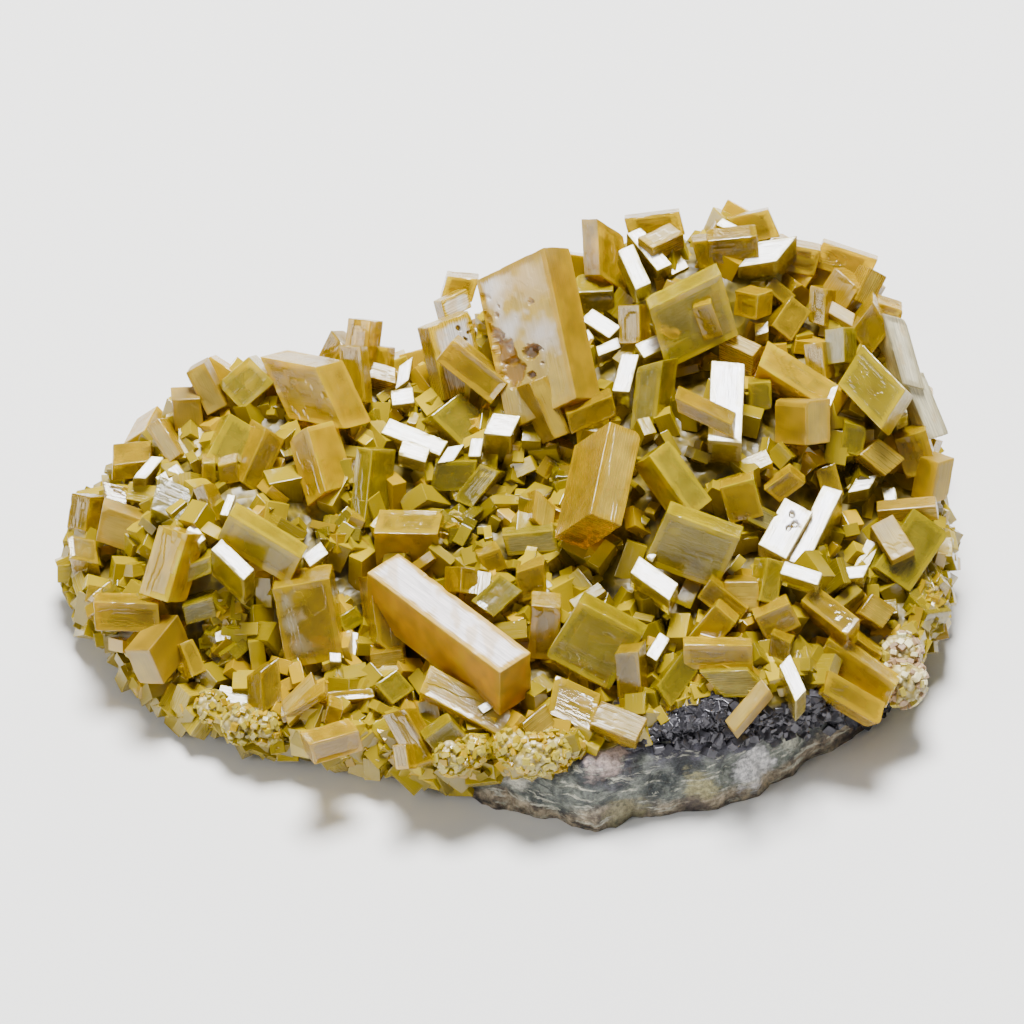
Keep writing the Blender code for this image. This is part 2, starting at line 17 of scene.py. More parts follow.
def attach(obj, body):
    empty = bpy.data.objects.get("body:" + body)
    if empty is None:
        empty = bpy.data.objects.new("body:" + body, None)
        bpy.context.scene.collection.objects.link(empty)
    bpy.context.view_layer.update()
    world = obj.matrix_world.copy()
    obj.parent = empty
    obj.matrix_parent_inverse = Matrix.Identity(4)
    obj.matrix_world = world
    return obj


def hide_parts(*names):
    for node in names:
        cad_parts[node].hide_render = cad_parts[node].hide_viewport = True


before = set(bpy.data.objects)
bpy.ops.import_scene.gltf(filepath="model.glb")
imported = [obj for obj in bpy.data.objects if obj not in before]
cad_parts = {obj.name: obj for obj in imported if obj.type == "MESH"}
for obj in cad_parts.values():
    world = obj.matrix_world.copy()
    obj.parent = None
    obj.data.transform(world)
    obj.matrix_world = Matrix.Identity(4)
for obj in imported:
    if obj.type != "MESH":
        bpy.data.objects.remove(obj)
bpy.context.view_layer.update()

bl_info = {
    "name": "Barite specimen",
    "version": (1, 0, 0),
    "blender": (4, 5, 0),
    "location": "3D View > Sidebar > Barite",
    "description": "Golden barite crystals on dark rock, made from a few sizes and colours",
    "category": "Add Mesh",
}

MM = 0.001

# Size and view, as in the solids
SPECIMEN_WIDTH = 120.0
VIEW_WIDTH_UNITS = 885
UNIT = SPECIMEN_WIDTH / VIEW_WIDTH_UNITS
VIEW_MIDDLE_ACROSS = 507
VIEW_LOWEST_DOWN = 828
LOWEST_FRONT_Y = -40
VIEW_SIDE = 1024
VIEW_ELEVATION = math.radians(45)
VIEW_RIGHT = np.array((1.0, 0.0, 0.0))
VIEW_UP = np.array((0.0, math.sin(VIEW_ELEVATION), math.cos(VIEW_ELEVATION)))
VIEW_NEAR = np.array((0.0, -math.cos(VIEW_ELEVATION), math.sin(VIEW_ELEVATION)))
ORIGIN_SHIFT = np.array((-0.475, -2.48, 0.0))
# Steps in mm along a line of sight, the nearest first; a line that meets nothing gives the first one
SIGHT = np.linspace(60, -60, 961)
MISSED = 59

# Rock and crust, in mm, as in the solids
ROCK_OUTLINE = ((55, -10), (50, -19), (41, -27), (32, -34), (20, -37), (12, -39.5), (0, -35.5),
                (-10, -32), (-20, -27), (-34, -21), (-46, -14), (-52, -3), (-53, 8), (-45, 17),
                (-30, 22), (-12, 26), (5, 31), (22, 35), (38, 34), (49, 26), (55, 12))
ROCK_TOP = ((-55, 3), (-20, 2.5), (-8, 4.5), (7, 12), (28, 15), (41, 11), (49, 8), (57, 6))
ROCK_ROUNDNESS = 7
CRUST_OUTLINE = ((59, 4), (58, -7), (53, -17), (43, -27), (30, -32), (18, -35), (6, -36.5), (-8, -33.5),
                 (-20, -30), (-33, -27), (-45, -20), (-54, -9), (-59, 3), (-57, 13), (-49, 21),
                 (-30, 26), (-14, 27), (0, 33), (14, 38), (28, 40), (42, 38), (52, 29), (58, 16))
CRUST_HEIGHTS = ((-38, 4, 21), (-28, 24, 24), (-15, 18, 21), (-1, -3, 18), (26, 10, 29), (26, 34, 38),
                 (40, -12, 20), (34, -24, 16), (7, -36, 12), (-42, -24, 6), (-59, 4, 11), (60, 8, 15),
                 (5, 26, 28), (46, 26, 30), (-20, -22, 9), (49, -19, 9), (56, -7, 12))
CRUST_SOFTNESS = 5
CRUST_ROUNDNESS = 8
CRUST_BELOW_ROCK_TOP = 1.5
CRUST_LOWEST = 2.5

# Tints of whole crystals: colours of the broad face, of the sides and at the rims, then how far the broad
# face is white with frosting and painted flash, how far the sides are white with frosting, how rough the
# crystal is and how deep its terraces are
Tint = namedtuple("Tint", "face side rim frost side_frost rough relief")
GOLD = Tint("#BA9A04", "#D0AA00", "#E2BC02", 0.0, 0.0, 0.07, 0.2)
OLIVE = Tint("#AC9A1E", "#C0A802", "#D8C004", 0.0, 0.0, 0.1, 0.14)
PALE = Tint("#CAAC3C", "#CEA800", "#DCB404", 0.3, 0.0, 0.28, 0.1)
GREY = Tint("#9A8E58", "#A8981C", "#C0AA14", 0.2, 0.0, 0.2, 0.1)
# WHITE and BLADE: white frosting, partly a painted reflection of the key light. FLASH: broad faces painted
# white, a painted reflection of the key softbox over the mirror flash that the light itself gives them.
WHITE = Tint("#DDD8CE", "#D2AE04", "#DEBC0C", 0.9, 0.0, 0.34, 0.06)
FLASH = Tint("#DCD9E2", "#C2A802", "#E4D07C", 0.65, 0.0, 0.14, 0.03)
BLADE = Tint("#E4DCDA", "#DAA400", "#DAAE06", 0.92, 0.0, 0.3, 0.08)
CREAM = Tint("#CDB85C", "#C4AA3C", "#D8C878", 0.2, 0.2, 0.25, 0.0)
# SHADE: dark olive of the small crystals in the hollows, darkened partly as painted shade of the gaps
# between the large crystals
SHADE = Tint("#7C7438", "#92820F", "#B4A016", 0.0, 0.0, 0.1, 0.0)
RIND = Tint("#EFE6C4", "#EBDDA8", "#F2E6B8", 0.9, 0.9, 0.5, 0.15)
BROWN = Tint("#9A7464", "#8E6A5A", "#B49484", 0.7, 0.7, 0.5, 0.0)

# A crystal's broad face leans away from the viewer towards the compass direction opposite its side:
# side 0 shows the crystal's right side, 90 its upper side. Thickness and rise are in mm.
TO_LIGHT = (270, 30)
ROOT_SHARE = 0.62
ROOT_DEPTH = 5
ROOT_FROM = 0.7

Crystal = namedtuple("Crystal", "name corner first second lean thick rise tint")
CRYSTALS = tuple(Crystal(*row) for row in (
    ("left end top", (91, 497), (86, 532), (72, 493), (0, 35), 4.5, 4, GOLD),
    ("left end low", (68, 534), (97, 540), (71, 558), (280, 35), 6, 3, GOLD),
    ("pencil", (205, 363), (227, 406), (186, 373), (60, 14), 4, 6, PALE),
    ("behind pencil", (172, 400), (201, 399), (176, 432), (95, 30), 3.5, 4, PALE),
    ("pale tile", (159, 418), (182, 454), (146, 428), (0, 30), 4, 4, PALE),
    ("left flash quad", (147, 479), (166, 457), (133, 478), TO_LIGHT, 5, 5, FLASH),
    ("rounded block", (113, 465), (151, 461), (112, 481), (90, 35), 5, 3, GOLD),
    ("golden lump", (108, 503), (150, 513), (103, 481), (270, 25), 6, 4, GOLD),
    ("beige plate", (104, 506), (160, 525), (97, 541), (80, 15), 5, 5, PALE),
    ("tall gold plate", (161, 525), (141, 593), (190, 534), (0, 30), 5, 6.5, GOLD),
    ("grey plate left", (186, 524), (152, 509), (195, 490), (270, 20), 5, 4, GREY),
    ("wedge left", (205, 484), (219, 521), (194, 489), (10, 25), 4, 3, GOLD),
    ("notched flash", (230, 516), (238, 495), (221, 515), TO_LIGHT, 4, 3.5, FLASH),
    ("small flash left", (209, 538), (196, 522), (201, 545), TO_LIGHT, 3, 4, FLASH),
    ("ridge tablet", (217, 385), (249, 357), (243, 411), (20, 12), 5, 5, OLIVE),
    ("sparkle tablet", (231, 413), (262, 432), (207, 458), (200, 15), 6, 5, OLIVE),
    ("white edged gold", (268, 428), (243, 483), (286, 441), (150, 30), 5, 4.5, GOLD),
    ("small gold 1", (203, 463), (217, 463), (203, 484), (90, 25), 3, 3.5, GOLD),
    ("small gold 2", (219, 466), (238, 462), (222, 486), (90, 25), 3, 3.5, GOLD),
    ("left crest slab", (316, 368), (345, 430), (260, 357), (15, 40), 6, 7, GOLD),
    ("crest column back", (348, 318), (340, 385), (371, 321), (0, 25), 4, 5, GOLD),
    ("crest column front", (338, 345), (343, 402), (361, 346), (0, 20), 3, 6, GOLD),
    ("crest triangle", (331, 330), (318, 356), (343, 345), (0, 30), 4, 3, GOLD),
    ("crest small column", (372, 345), (370, 374), (388, 347), (0, 20), 3, 3, GOLD),
    ("crest pale block", (367, 360), (396, 367), (367, 377), (280, 30), 3, 3.5, PALE),
    ("notch flash upright", (395, 390), (399, 366), (409, 380), TO_LIGHT, 4, 3, FLASH),
    ("notch flash low", (392, 406), (390, 390), (415, 403), TO_LIGHT, 6, 4, FLASH),
    ("hexagonal block", (308, 426), (327, 492), (289, 441), (15, 42), 6, 6, GOLD),
    ("small pale 1", (339, 458), (336, 490), (353, 458), (0, 20), 3, 3, PALE),
    ("tall olive block", (373, 450), (365, 528), (357, 447), (0, 40), 5, 4, OLIVE),
    ("small olive 1", (374, 408), (378, 434), (360, 422), (0, 15), 3, 2, OLIVE),
    ("stepped flash block", (246, 580), (213, 549), (257, 569), TO_LIGHT, 6.8, 7, FLASH),
    ("long olive slab", (231, 514), (303, 558), (218, 541), (60, 30), 4, 5.5, OLIVE),
    ("flash left of blade", (311, 567), (303, 555), (330, 553), TO_LIGHT, 3, 3, FLASH),
    ("silky gold block", (274, 588), (288, 668), (331, 578), (80, 18), 7, 7, GOLD),
    ("low left bar", (96, 601), (161, 603), (98, 630), (85, 15), 5, 5, GOLD),
    ("left corner cube", (152, 649), (167, 683), (127, 649), (51, 50), 8, 6, PALE),
    ("beside the cube", (196, 637), (209, 670), (182, 643), (200, 25), 4, 5, GOLD),
    ("grey block low left", (188, 625), (219, 616), (184, 606), (90, 20), 4, 3, GREY),
    ("olive block low left", (188, 583), (214, 573), (187, 566), (90, 20), 4, 3, OLIVE),
    ("chisel", (281, 656), (284, 699), (262, 670), (200, 30), 4, 5, GOLD),
    ("striped pale", (313, 670), (320, 693), (283, 700), (300, 20), 5, 4, PALE),
    ("thin bar left", (282, 716), (326, 690), (286, 722), (90, 35), 3, 4, GOLD),
    ("front left brick", (312, 742), (361, 728), (317, 762), (130, 40), 3.5, 5, GOLD),
    ("small gold 3", (330, 703), (325, 721), (345, 708), (90, 30), 3, 4, GOLD),
    ("long thin bar", (321, 691), (376, 686), (321, 701), (270, 20), 3, 3.5, GOLD),
    ("capped column", (331, 661), (343, 661), (330, 648), TO_LIGHT, 7, 4.5, FLASH),
    ("flash leaf", (357, 655), (360, 632), (345, 652), TO_LIGHT, 3, 3, FLASH),
    ("small olive 2", (338, 617), (357, 605), (347, 633), (200, 25), 3, 2.5, OLIVE),
    ("beige block", (371, 653), (404, 648), (375, 682), (90, 15), 4, 4, PALE),
    ("green block", (376, 683), (394, 703), (398, 668), (200, 20), 4, 5, OLIVE),
    ("front tall block", (383, 713), (412, 765), (406, 706), (0, 25), 4, 4.5, GOLD),
    ("front small block", (393, 742), (397, 767), (407, 741), (0, 20), 3, 4.5, GOLD),
    ("front olive block", (425, 737), (443, 757), (452, 717), (120, 25), 3, 4, OLIVE),
    ("front blade", (500, 671), (368, 572), (531, 651), (270, 45), 8.2, 10, BLADE),
    ("blade root", (370, 576), (379, 642), (400, 600), (180, 15), 6, 6, GOLD),
    ("under the blade", (420, 690), (502, 735), (431, 663), (270, 20), 4, 4.5, GOLD),
    ("gold brick", (438, 534), (374, 533), (444, 510), (275, 45), 7, 6, GOLD),
    ("cap block", (462, 566), (461, 592), (479, 569), (180, 35), 4, 5, GOLD),
    ("yellow knob", (478, 556), (500, 548), (486, 576), (120, 20), 4, 4, GOLD),
    ("bright plate", (471, 600), (500, 574), (494, 616), (270, 20), 4, 5, OLIVE),
    ("front gold 1", (515, 572), (518, 603), (544, 563), (90, 18), 4, 4.5, GOLD),
    ("front gold 2", (531, 604), (528, 657), (561, 607), (90, 30), 4, 5, GOLD),
    ("front plate", (578, 600), (544, 655), (642, 634), (60, 18), 5, 7, OLIVE),
    ("front gold 3", (613, 652), (617, 700), (637, 650), (60, 30), 4, 6, GOLD),
    ("broken gold", (555, 672), (600, 692), (547, 711), (270, 20), 5, 5, GOLD),
    ("broken pale gold", (600, 698), (646, 716), (588, 721), (270, 20), 4, 5, PALE),
    ("pale quad", (522, 721), (546, 701), (532, 742), (200, 20), 3, 4, PALE),
    ("crossed plate", (436, 361), (491, 405), (453, 340), (45, 15), 4, 9, GOLD),
    ("white plate", (428, 328), (445, 401), (470, 311), (180, 22), 4, 6.5, WHITE),
    ("white step plate", (441, 301), (446, 320), (467, 288), (180, 22), 3, 6, WHITE),
    ("gold top left", (447, 276), (440, 300), (479, 279), (90, 12), 4, 4, GOLD),
    ("great plate", (544, 248), (576, 399), (476, 281), (0, 35), 6, 11, PALE),
    ("olive shelf", (574, 293), (613, 291), (577, 326), (85, 35), 4.5, 4, OLIVE),
    ("hexagon flash", (580, 320), (609, 339), (592, 308), TO_LIGHT, 3, 4.5, FLASH),
    ("small flash 1", (598, 357), (621, 348), (595, 346), TO_LIGHT, 3, 4, FLASH),
    ("small flash 2", (590, 345), (583, 333), (595, 338), TO_LIGHT, 2, 4, FLASH),
    ("drum column", (617, 306), (618, 345), (639, 305), (0, 25), 3.5, 6, GOLD),
    ("house crystal", (597, 219), (600, 276), (624, 236), (180, 35), 3.8, 6, GOLD),
    ("top flash 1", (635, 291), (617, 251), (651, 284), TO_LIGHT, 4, 7, FLASH),
    ("top flash 2", (657, 272), (626, 234), (672, 265), TO_LIGHT, 5, 5, FLASH),
    ("top pale block", (652, 249), (637, 238), (684, 234), (270, 40), 3, 6.5, PALE),
    ("back plate 1", (624, 219), (679, 212), (630, 242), (90, 8), 4, 4, GOLD),
    ("top shelf", (707, 242), (757, 237), (709, 266), (100, 35), 3, 5, GOLD),
    ("top small 1", (691, 243), (699, 270), (707, 241), (90, 20), 3, 4, GOLD),
    ("top flash bar", (745, 241), (715, 225), (752, 234), TO_LIGHT, 2.5, 6.5, FLASH),
    ("back plate 2", (727, 219), (768, 210), (739, 246), (90, 8), 3, 4.5, GOLD),
    ("frosted top", (737, 268), (758, 242), (776, 262), TO_LIGHT, 6, 6, FLASH),
    ("back gold", (779, 243), (822, 251), (771, 269), (90, 15), 4, 4, GOLD),
    ("right back plate", (823, 242), (878, 260), (811, 266), (80, 12), 3, 5, GOLD),
    ("silky pale block", (870, 268), (854, 300), (887, 277), (160, 25), 4, 5, PALE),
    ("right back small", (877, 303), (903, 311), (873, 318), (90, 25), 3, 3.5, GOLD),
    ("right cube", (872, 303), (850, 332), (890, 330), (90, 20), 5, 4, GOLD),
    ("right plate", (861, 345), (904, 390), (836, 385), (320, 18), 5, 7, OLIVE),
    ("roof crystal", (767, 341), (838, 386), (757, 366), (250, 30), 5, 6, GOLD),
    ("olive gold plate", (720, 275), (648, 310), (738, 336), (110, 22), 4.5, 7, OLIVE),
    ("plate rider", (690, 309), (703, 342), (710, 304), (90, 30), 3, 7.5, GOLD),
    ("right gold cube", (757, 296), (755, 321), (734, 291), (20, 35), 4, 5, GOLD),
    ("diamond cube", (791, 296), (811, 312), (771, 326), (200, 20), 5, 4.5, GOLD),
    ("small gold 4", (774, 277), (796, 296), (764, 288), (200, 20), 4, 3.5, GOLD),
    ("tall gold column", (809, 285), (807, 322), (826, 290), (0, 20), 4, 5, GOLD),
    ("pale ledge", (829, 299), (855, 314), (826, 312), (270, 40), 4, 3.5, PALE),
    ("grey olive column", (823, 330), (824, 366), (843, 327), (0, 25), 4, 5, GREY),
    ("small gold 5", (802, 345), (806, 382), (821, 342), (0, 20), 4, 4, GOLD),
    ("tiny flash 1", (754, 337), (754, 325), (768, 333), TO_LIGHT, 3, 3.5, FLASH),
    ("pale topped ledge", (752, 357), (718, 341), (761, 346), (270, 42), 4.5, 5, PALE),
    ("grey silky", (643, 359), (634, 345), (681, 341), TO_LIGHT, 4, 4.5, FLASH),
    ("tall flash", (629, 393), (639, 355), (611, 392), TO_LIGHT, 4.6, 7, FLASH),
    ("olive ridge block", (662, 361), (655, 424), (636, 368), (10, 35), 3.8, 5.5, OLIVE),
    ("great flash", (740, 444), (744, 364), (706, 441), TO_LIGHT, 8.7, 8, FLASH),
    ("crossing bar", (673, 398), (730, 425), (676, 413), (70, 30), 3.5, 9.5, GOLD),
    ("middle bar", (566, 415), (612, 396), (571, 435), (110, 20), 3.5, 6, GOLD),
    ("pale column", (546, 376), (571, 433), (529, 383), (200, 25), 4.5, 7, PALE),
    ("flash topped column", (511, 437), (483, 434), (521, 416), TO_LIGHT, 9, 7, FLASH),
    ("great prism", (589, 514), (609, 422), (621, 526), (214, 32), 10.9, 12, PALE),
    ("olive prism", (668, 440), (711, 500), (648, 456), (210, 35), 4.5, 6, OLIVE),
    ("central plate", (665, 512), (738, 538), (642, 563), (70, 25), 4, 7.5, OLIVE),
    ("flash brick", (668, 600), (629, 572), (677, 583), TO_LIGHT, 4, 7, FLASH),
    ("tiny flash 2", (645, 557), (652, 545), (651, 562), TO_LIGHT, 2, 6, FLASH),
    ("pale yellow block", (556, 507), (536, 489), (552, 536), (200, 25), 5, 5.5, PALE),
    ("grey block", (502, 535), (553, 530), (508, 556), (90, 15), 4, 5, GREY),
    ("olive tablet 1", (480, 464), (452, 500), (500, 472), (0, 15), 4, 4.5, OLIVE),
    ("olive tablet 2", (436, 462), (430, 492), (478, 461), (90, 15), 4, 4, OLIVE),
    ("long flash", (381, 433), (440, 456), (390, 418), TO_LIGHT, 3.5, 5.5, FLASH),
    ("small flash 3", (437, 464), (448, 447), (454, 461), TO_LIGHT, 3, 5.5, FLASH),
    ("small flash 4", (468, 457), (471, 438), (481, 457), TO_LIGHT, 3, 5, FLASH),
    ("grey tile", (398, 455), (403, 440), (426, 463), TO_LIGHT, 3, 6, FLASH),
    ("brown block", (431, 416), (464, 449), (461, 392), (210, 20), 5, 4.5, OLIVE),
    ("olive small 3", (747, 384), (748, 412), (770, 382), (90, 15), 3, 4, OLIVE),
    ("pale column right", (804, 402), (804, 446), (829, 399), (175, 40), 6.5, 8, PALE),
    ("gold block right", (718, 488), (752, 479), (728, 525), (90, 18), 4, 5, GOLD),
    ("bright gold right", (762, 490), (788, 471), (778, 503), (90, 18), 3.5, 5.5, GOLD),
    ("grey olive right", (752, 502), (779, 515), (746, 521), (200, 18), 3.5, 5, GREY),
    ("pitted flash", (811, 512), (784, 559), (783, 497), TO_LIGHT, 3, 6, FLASH),
    ("tall right flash", (804, 566), (841, 491), (784, 560), TO_LIGHT, 8, 6.5, FLASH),
    ("flash bar", (815, 585), (777, 573), (820, 572), TO_LIGHT, 3, 7, FLASH),
    ("pitted olive", (765, 557), (757, 600), (783, 562), (180, 25), 4, 5, OLIVE),
    ("tiny flash 3", (884, 504), (880, 488), (898, 503), TO_LIGHT, 4, 4.5, FLASH),
    ("frosted bar", (875, 511), (934, 506), (878, 525), (90, 35), 2.5, 5.5, PALE),
    ("pale olive block", (868, 526), (890, 561), (891, 514), (270, 20), 5, 7, PALE),
    ("right lobe plate 1", (948, 533), (908, 592), (912, 508), (200, 18), 5, 5, OLIVE),
    ("right lobe plate 2", (925, 540), (890, 586), (893, 518), (200, 18), 5, 4, OLIVE),
    ("right end block", (937, 463), (930, 504), (954, 458), (160, 40), 4.5, 5, PALE),
    ("frosted lump", (858, 455), (884, 476), (878, 438), (200, 20), 5, 7, PALE),
    ("right gold", (893, 440), (905, 480), (925, 430), (90, 15), 5, 4.5, GOLD),
    ("right olive", (843, 422), (838, 452), (866, 428), (90, 15), 4, 4.5, OLIVE),
    ("tiny flash 4", (896, 420), (892, 407), (907, 414), TO_LIGHT, 3, 4.5, FLASH),
    ("dark gold right", (814, 470), (823, 502), (834, 463), (200, 15), 4, 4, GOLD),
    ("small flash 5", (846, 493), (855, 478), (868, 489), TO_LIGHT, 3, 4.5, FLASH),
    ("olive ledge right", (832, 580), (861, 577), (838, 567), TO_LIGHT, 5, 5.5, FLASH),
    ("rind upper", (882, 314), (902, 384), (905, 320), (180, 25), 8, 3, RIND),
    ("rind lower", (903, 378), (929, 440), (923, 372), (180, 25), 8, 3, RIND),
    ("ledge bar", (681, 643), (750, 644), (682, 668), (90, 22), 3, 6, GOLD),
    ("ledge gold 1", (708, 578), (746, 608), (695, 597), (60, 20), 3.5, 5, GOLD),
    ("ledge pale plate", (757, 581), (757, 612), (722, 581), (60, 15), 4, 4.5, PALE),
    ("ledge gold 2", (713, 603), (686, 636), (734, 622), (60, 20), 4, 5, GOLD),
    ("ledge gold 3", (752, 617), (787, 602), (764, 640), (110, 20), 4, 5, GOLD),
    ("ledge long block", (798, 600), (843, 635), (812, 583), (270, 20), 5, 6, GOLD),
    ("ledge frosted", (856, 612), (880, 628), (870, 592), (200, 20), 5, 4.5, PALE),
    ("ledge flash", (792, 700), (776, 664), (803, 688), TO_LIGHT, 5.5, 5.5, FLASH),
    ("ledge long gold", (825, 637), (893, 684), (814, 660), (60, 25), 3.5, 6.5, GOLD),
    ("ledge small", (855, 638), (880, 655), (845, 652), (90, 20), 4, 4, GOLD),
    ("ledge low gold", (826, 668), (882, 701), (820, 691), (200, 18), 4.5, 5, GOLD),
    ("ledge pale spear", (758, 676), (722, 718), (767, 688), (300, 20), 3, 4.5, PALE),
    ("ledge grey", (697, 670), (745, 668), (722, 696), (90, 15), 4, 3, GREY),
    ("ledge tipped flash", (655, 660), (669, 637), (644, 653), TO_LIGHT, 4.5, 5, FLASH),
    ("ledge olive", (684, 646), (655, 684), (698, 668), (200, 18), 4, 4, OLIVE),
    ("ledge pyramid", (768, 632), (788, 642), (765, 655), (60, 25), 4, 4, GOLD),
))

# Pits and broken places: the crystal, its middle in the view, its radius and depth in mm, its colour
Pit = namedtuple("Pit", "crystal place radius depth colour")
PITS = tuple(Pit(*row) for row in (
    ("great plate", (531, 354), 1.0, 0.7, "#7A5C10"),
    ("great plate", (535, 349), 0.6, 0.7, "#8C6C14"),
    ("great plate", (531, 303), 0.3, 0.3, "#8C6C14"),
    ("great plate", (531, 376), 0.5, 0.4, "#7A5510"),
    ("great plate", (484, 322), 1.3, 0.4, "#C89A08"),
    ("great plate", (488, 338), 1.9, 0.5, "#B88806"),
    ("great plate", (503, 352), 1.8, 0.5, "#A87A04"),
    ("great plate", (513, 372), 1.7, 0.5, "#B08404"),
    ("great plate", (478, 300), 0.9, 0.4, "#B48C14"),
    # These pale stains on the great plate are partly painted reflection of the key light, partly pale
    # frosting of its face
    ("great plate", (492, 288), 3.2, 0.0, "#F6F2EC"),
    ("great plate", (508, 330), 2.4, 0.0, "#EFE8DC"),
    ("great plate", (530, 280), 3.0, 0.0, "#D8C088"),
    ("great plate", (540, 335), 2.6, 0.0, "#E4DACA"),
    ("white plate", (463, 318), 0.25, 0.3, "#6A5A20"),
    ("white plate", (471, 324), 0.3, 0.3, "#6A5A20"),
    ("white plate", (458, 328), 0.25, 0.3, "#7A6A30"),
    ("white plate", (469, 333), 0.3, 0.3, "#6A5A20"),
    ("white plate", (466, 340), 0.25, 0.3, "#6A5A20"),
    ("pitted flash", (790, 514), 0.4, 0.3, "#8A7A30"),
    ("pitted flash", (797, 508), 0.3, 0.3, "#8A7A30"),
    ("pitted flash", (786, 528), 0.4, 0.3, "#8A7A30"),
    ("pitted flash", (794, 524), 0.35, 0.3, "#8A7A30"),
    ("pitted flash", (790, 541), 0.3, 0.3, "#8A7A30"),
    ("silky gold block", (291, 622), 1.6, 0.0, "#D6C690"),
    ("silky gold block", (287, 600), 1.2, 0.0, "#D6C690"),
    ("silky gold block", (300, 645), 1.3, 0.0, "#CDBB86"),
    ("great flash", (712, 395), 0.3, 0.2, "#B8B0A8"),
    ("great flash", (730, 420), 0.4, 0.2, "#C8C0B8"),
))

Knob = namedtuple("Knob", "name place radius")
KNOBS = tuple(Knob(*row) for row in (
    ("front knob 1", (512, 744), 2.6),
    ("front knob 2", (531, 752), 3.2),
    ("front knob 3", (552, 748), 3.0),
    ("front knob 4", (570, 742), 2.2),
    ("front knob 5", (452, 754), 2.6),
    ("front knob 6", (474, 748), 2.2),
    ("left knob 1", (214, 706), 2.4),
    ("left knob 2", (243, 722), 2.8),
    ("left knob 3", (266, 725), 2.6),
    ("right knob 1", (898, 654), 3.2),
    ("right knob 2", (900, 682), 3.6),
))

# Crystals of the hidden sides, as in the solids
BACK_SEED = 11
BACK_COUNT = 48
BACK_SUNK = 0.12
BACK_ABOVE_ROCK = 4
BACK_BEARINGS = (24, 158)
BACK_PLAN = (0.84, 1.0)
BACK_LONG = (8, 17)
BACK_WIDE = (6, 11)
BACK_THICK = (2.8, 5.5)

# The crystals above in groups, the largest broad faces first: piece, number of crystals, lattice cells
# along each edge, seed, and whether they are clear or only lucid
CRYSTAL_GROUPS = (
    ("great_crystals", 8, (72, 48, 14), 20, True),
    ("large_crystals", 32, (30, 20, 9), 21, True),
    ("medium_crystals", 128, (14, 11, 7), 22, False),
)
# Added to a group's seed for its crystals' roots
ROOT_SEED = 50
# Cells along the edges of small and back crystals, and how deep the terraces of those at the back are
SMALL_CELLS = (3, 3, 3)
GAP_CELLS = (4, 3, 3)
BACK_CELLS = (14, 10, 6)
BACK_RELIEF = 0.2
# How much narrower the rounded edges of small crystals are
SMALL_BEVEL_SHARE = 0.6
# Cells of the rock's and of the crust's surface, around and across
ROCK_CELLS = (460, 190)
CRUST_CELLS = (360, 140)
# Width in mm of the band beside an edge that has its own lattice line
RIM_WIDTH = 0.9
# Noise on the crystals, sizes in mm: chips at the rims, terraces on broad faces, clouds and mottles
CHIP_SIZE = 1.8
TERRACE_SIZE = 2.6
TERRACE_STEPS = 3
CLOUD_SIZE = 5.0
MOTTLE_SIZE = 1.5
# Streaks of the gold below on white faces, on frosting and on painted flash alike
STREAK_SIZE = 1.3
STREAK_COLOUR = "#C9A24C"
# Barite's index of refraction, what its depth leaves of red, green and blue light, and how often the
# striations of a face change in a mm along and across it
BARITE_IOR = 1.636
BARITE_DEPTH_COLOUR = (0.97, 0.89, 0.05, 1.0)
STRIATIONS = (0.2, 4.5, 1.0)
# How much of the surface colour is left where a crystal is cloudy and no depth below adds to it
CLOUDY_SHARE = np.array((0.82, 0.8, 0.5))
# Nothing of the crystals comes nearer to the ground than this, in mm
GROUND_GAP = 0.8
# How much wider or narrower the yellow band at the rims is on clear and on cloudy crystals
CLEAR_RIM, CLOUDY_RIM = 0.75, 1.4

# Bearings between which the front wall of the crust carries ore, not crystals
BARE_FRONT = (math.radians(-80), math.radians(-22))
# Small crystals between those read from the view: middle and reach of each gap in it, number of crystals
GAPS = (((229, 628), (14, 26), 60), ((343, 534), (16, 12), 40), ((456, 530), (12, 8), 26),
        ((924, 604), (8, 26), 44), ((560, 478), (16, 10), 20), ((112, 610), (9, 16), 24),
        ((600, 300), (14, 10), 16), ((690, 300), (14, 12), 16))
# Share of the small crystals that grow on the crust's wall, and from which share of the wall's height on
# they grow where it is bare
WALL_SHARE = 0.5
BARE_ABOVE = 0.93
# Length, width and thickness in mm, the least and the most, before a crystal is scaled as a whole
SMALL_SIZES = ((2.2, 1.8, 0.9), (3.8, 3.2, 2.0))
GAP_SIZES = ((2.2, 1.8, 0.9), (3.6, 3.0, 2.0))
# Grains on each knob, and half their sizes in mm
GRAINS = 90
GRAIN_HALF = (0.22, 0.6)

# Ore on the rock: middle and spread in the view, number of crystals; then, in mm, half their sizes and
# how near they come to the ground
ORE = (((655, 712), (16, 13), 260), ((695, 708), (18, 16), 330), ((750, 722), (28, 8), 200),
       ((830, 710), (30, 7), 200))
ORE_HALF = (0.3, 0.8)
ORE_GROUND_GAP = 0.3

# Patches of other colour on the rock's front: middle in the view, radius in mm, colour
Patch = namedtuple("Patch", "place radius colour")
ROCK_PATCHES = tuple(Patch(*row) for row in (
    ((606, 752), 3.4, "#B9A39A"),
    ((755, 768), 3.6, "#E8E4E2"),
    ((700, 785), 3.0, "#A9A070"),
    ((812, 762), 1.8, "#A89530"),
    ((420, 768), 2.6, "#8E8578"),
    ((515, 775), 2.2, "#C9C5B4"),
    ((625, 812), 3.4, "#8E8664"),
    ((790, 740), 2.2, "#C4C4AE"),
    ((690, 806), 3.0, "#5A4E4A"),
))

# Distances and sizes of the stage in metres, power in watts
LIT_POINT = (0, 0, 0.02)
KEY_DISTANCE = 1.0
KEY_SIZE = 0.42
KEY_POWER = 37
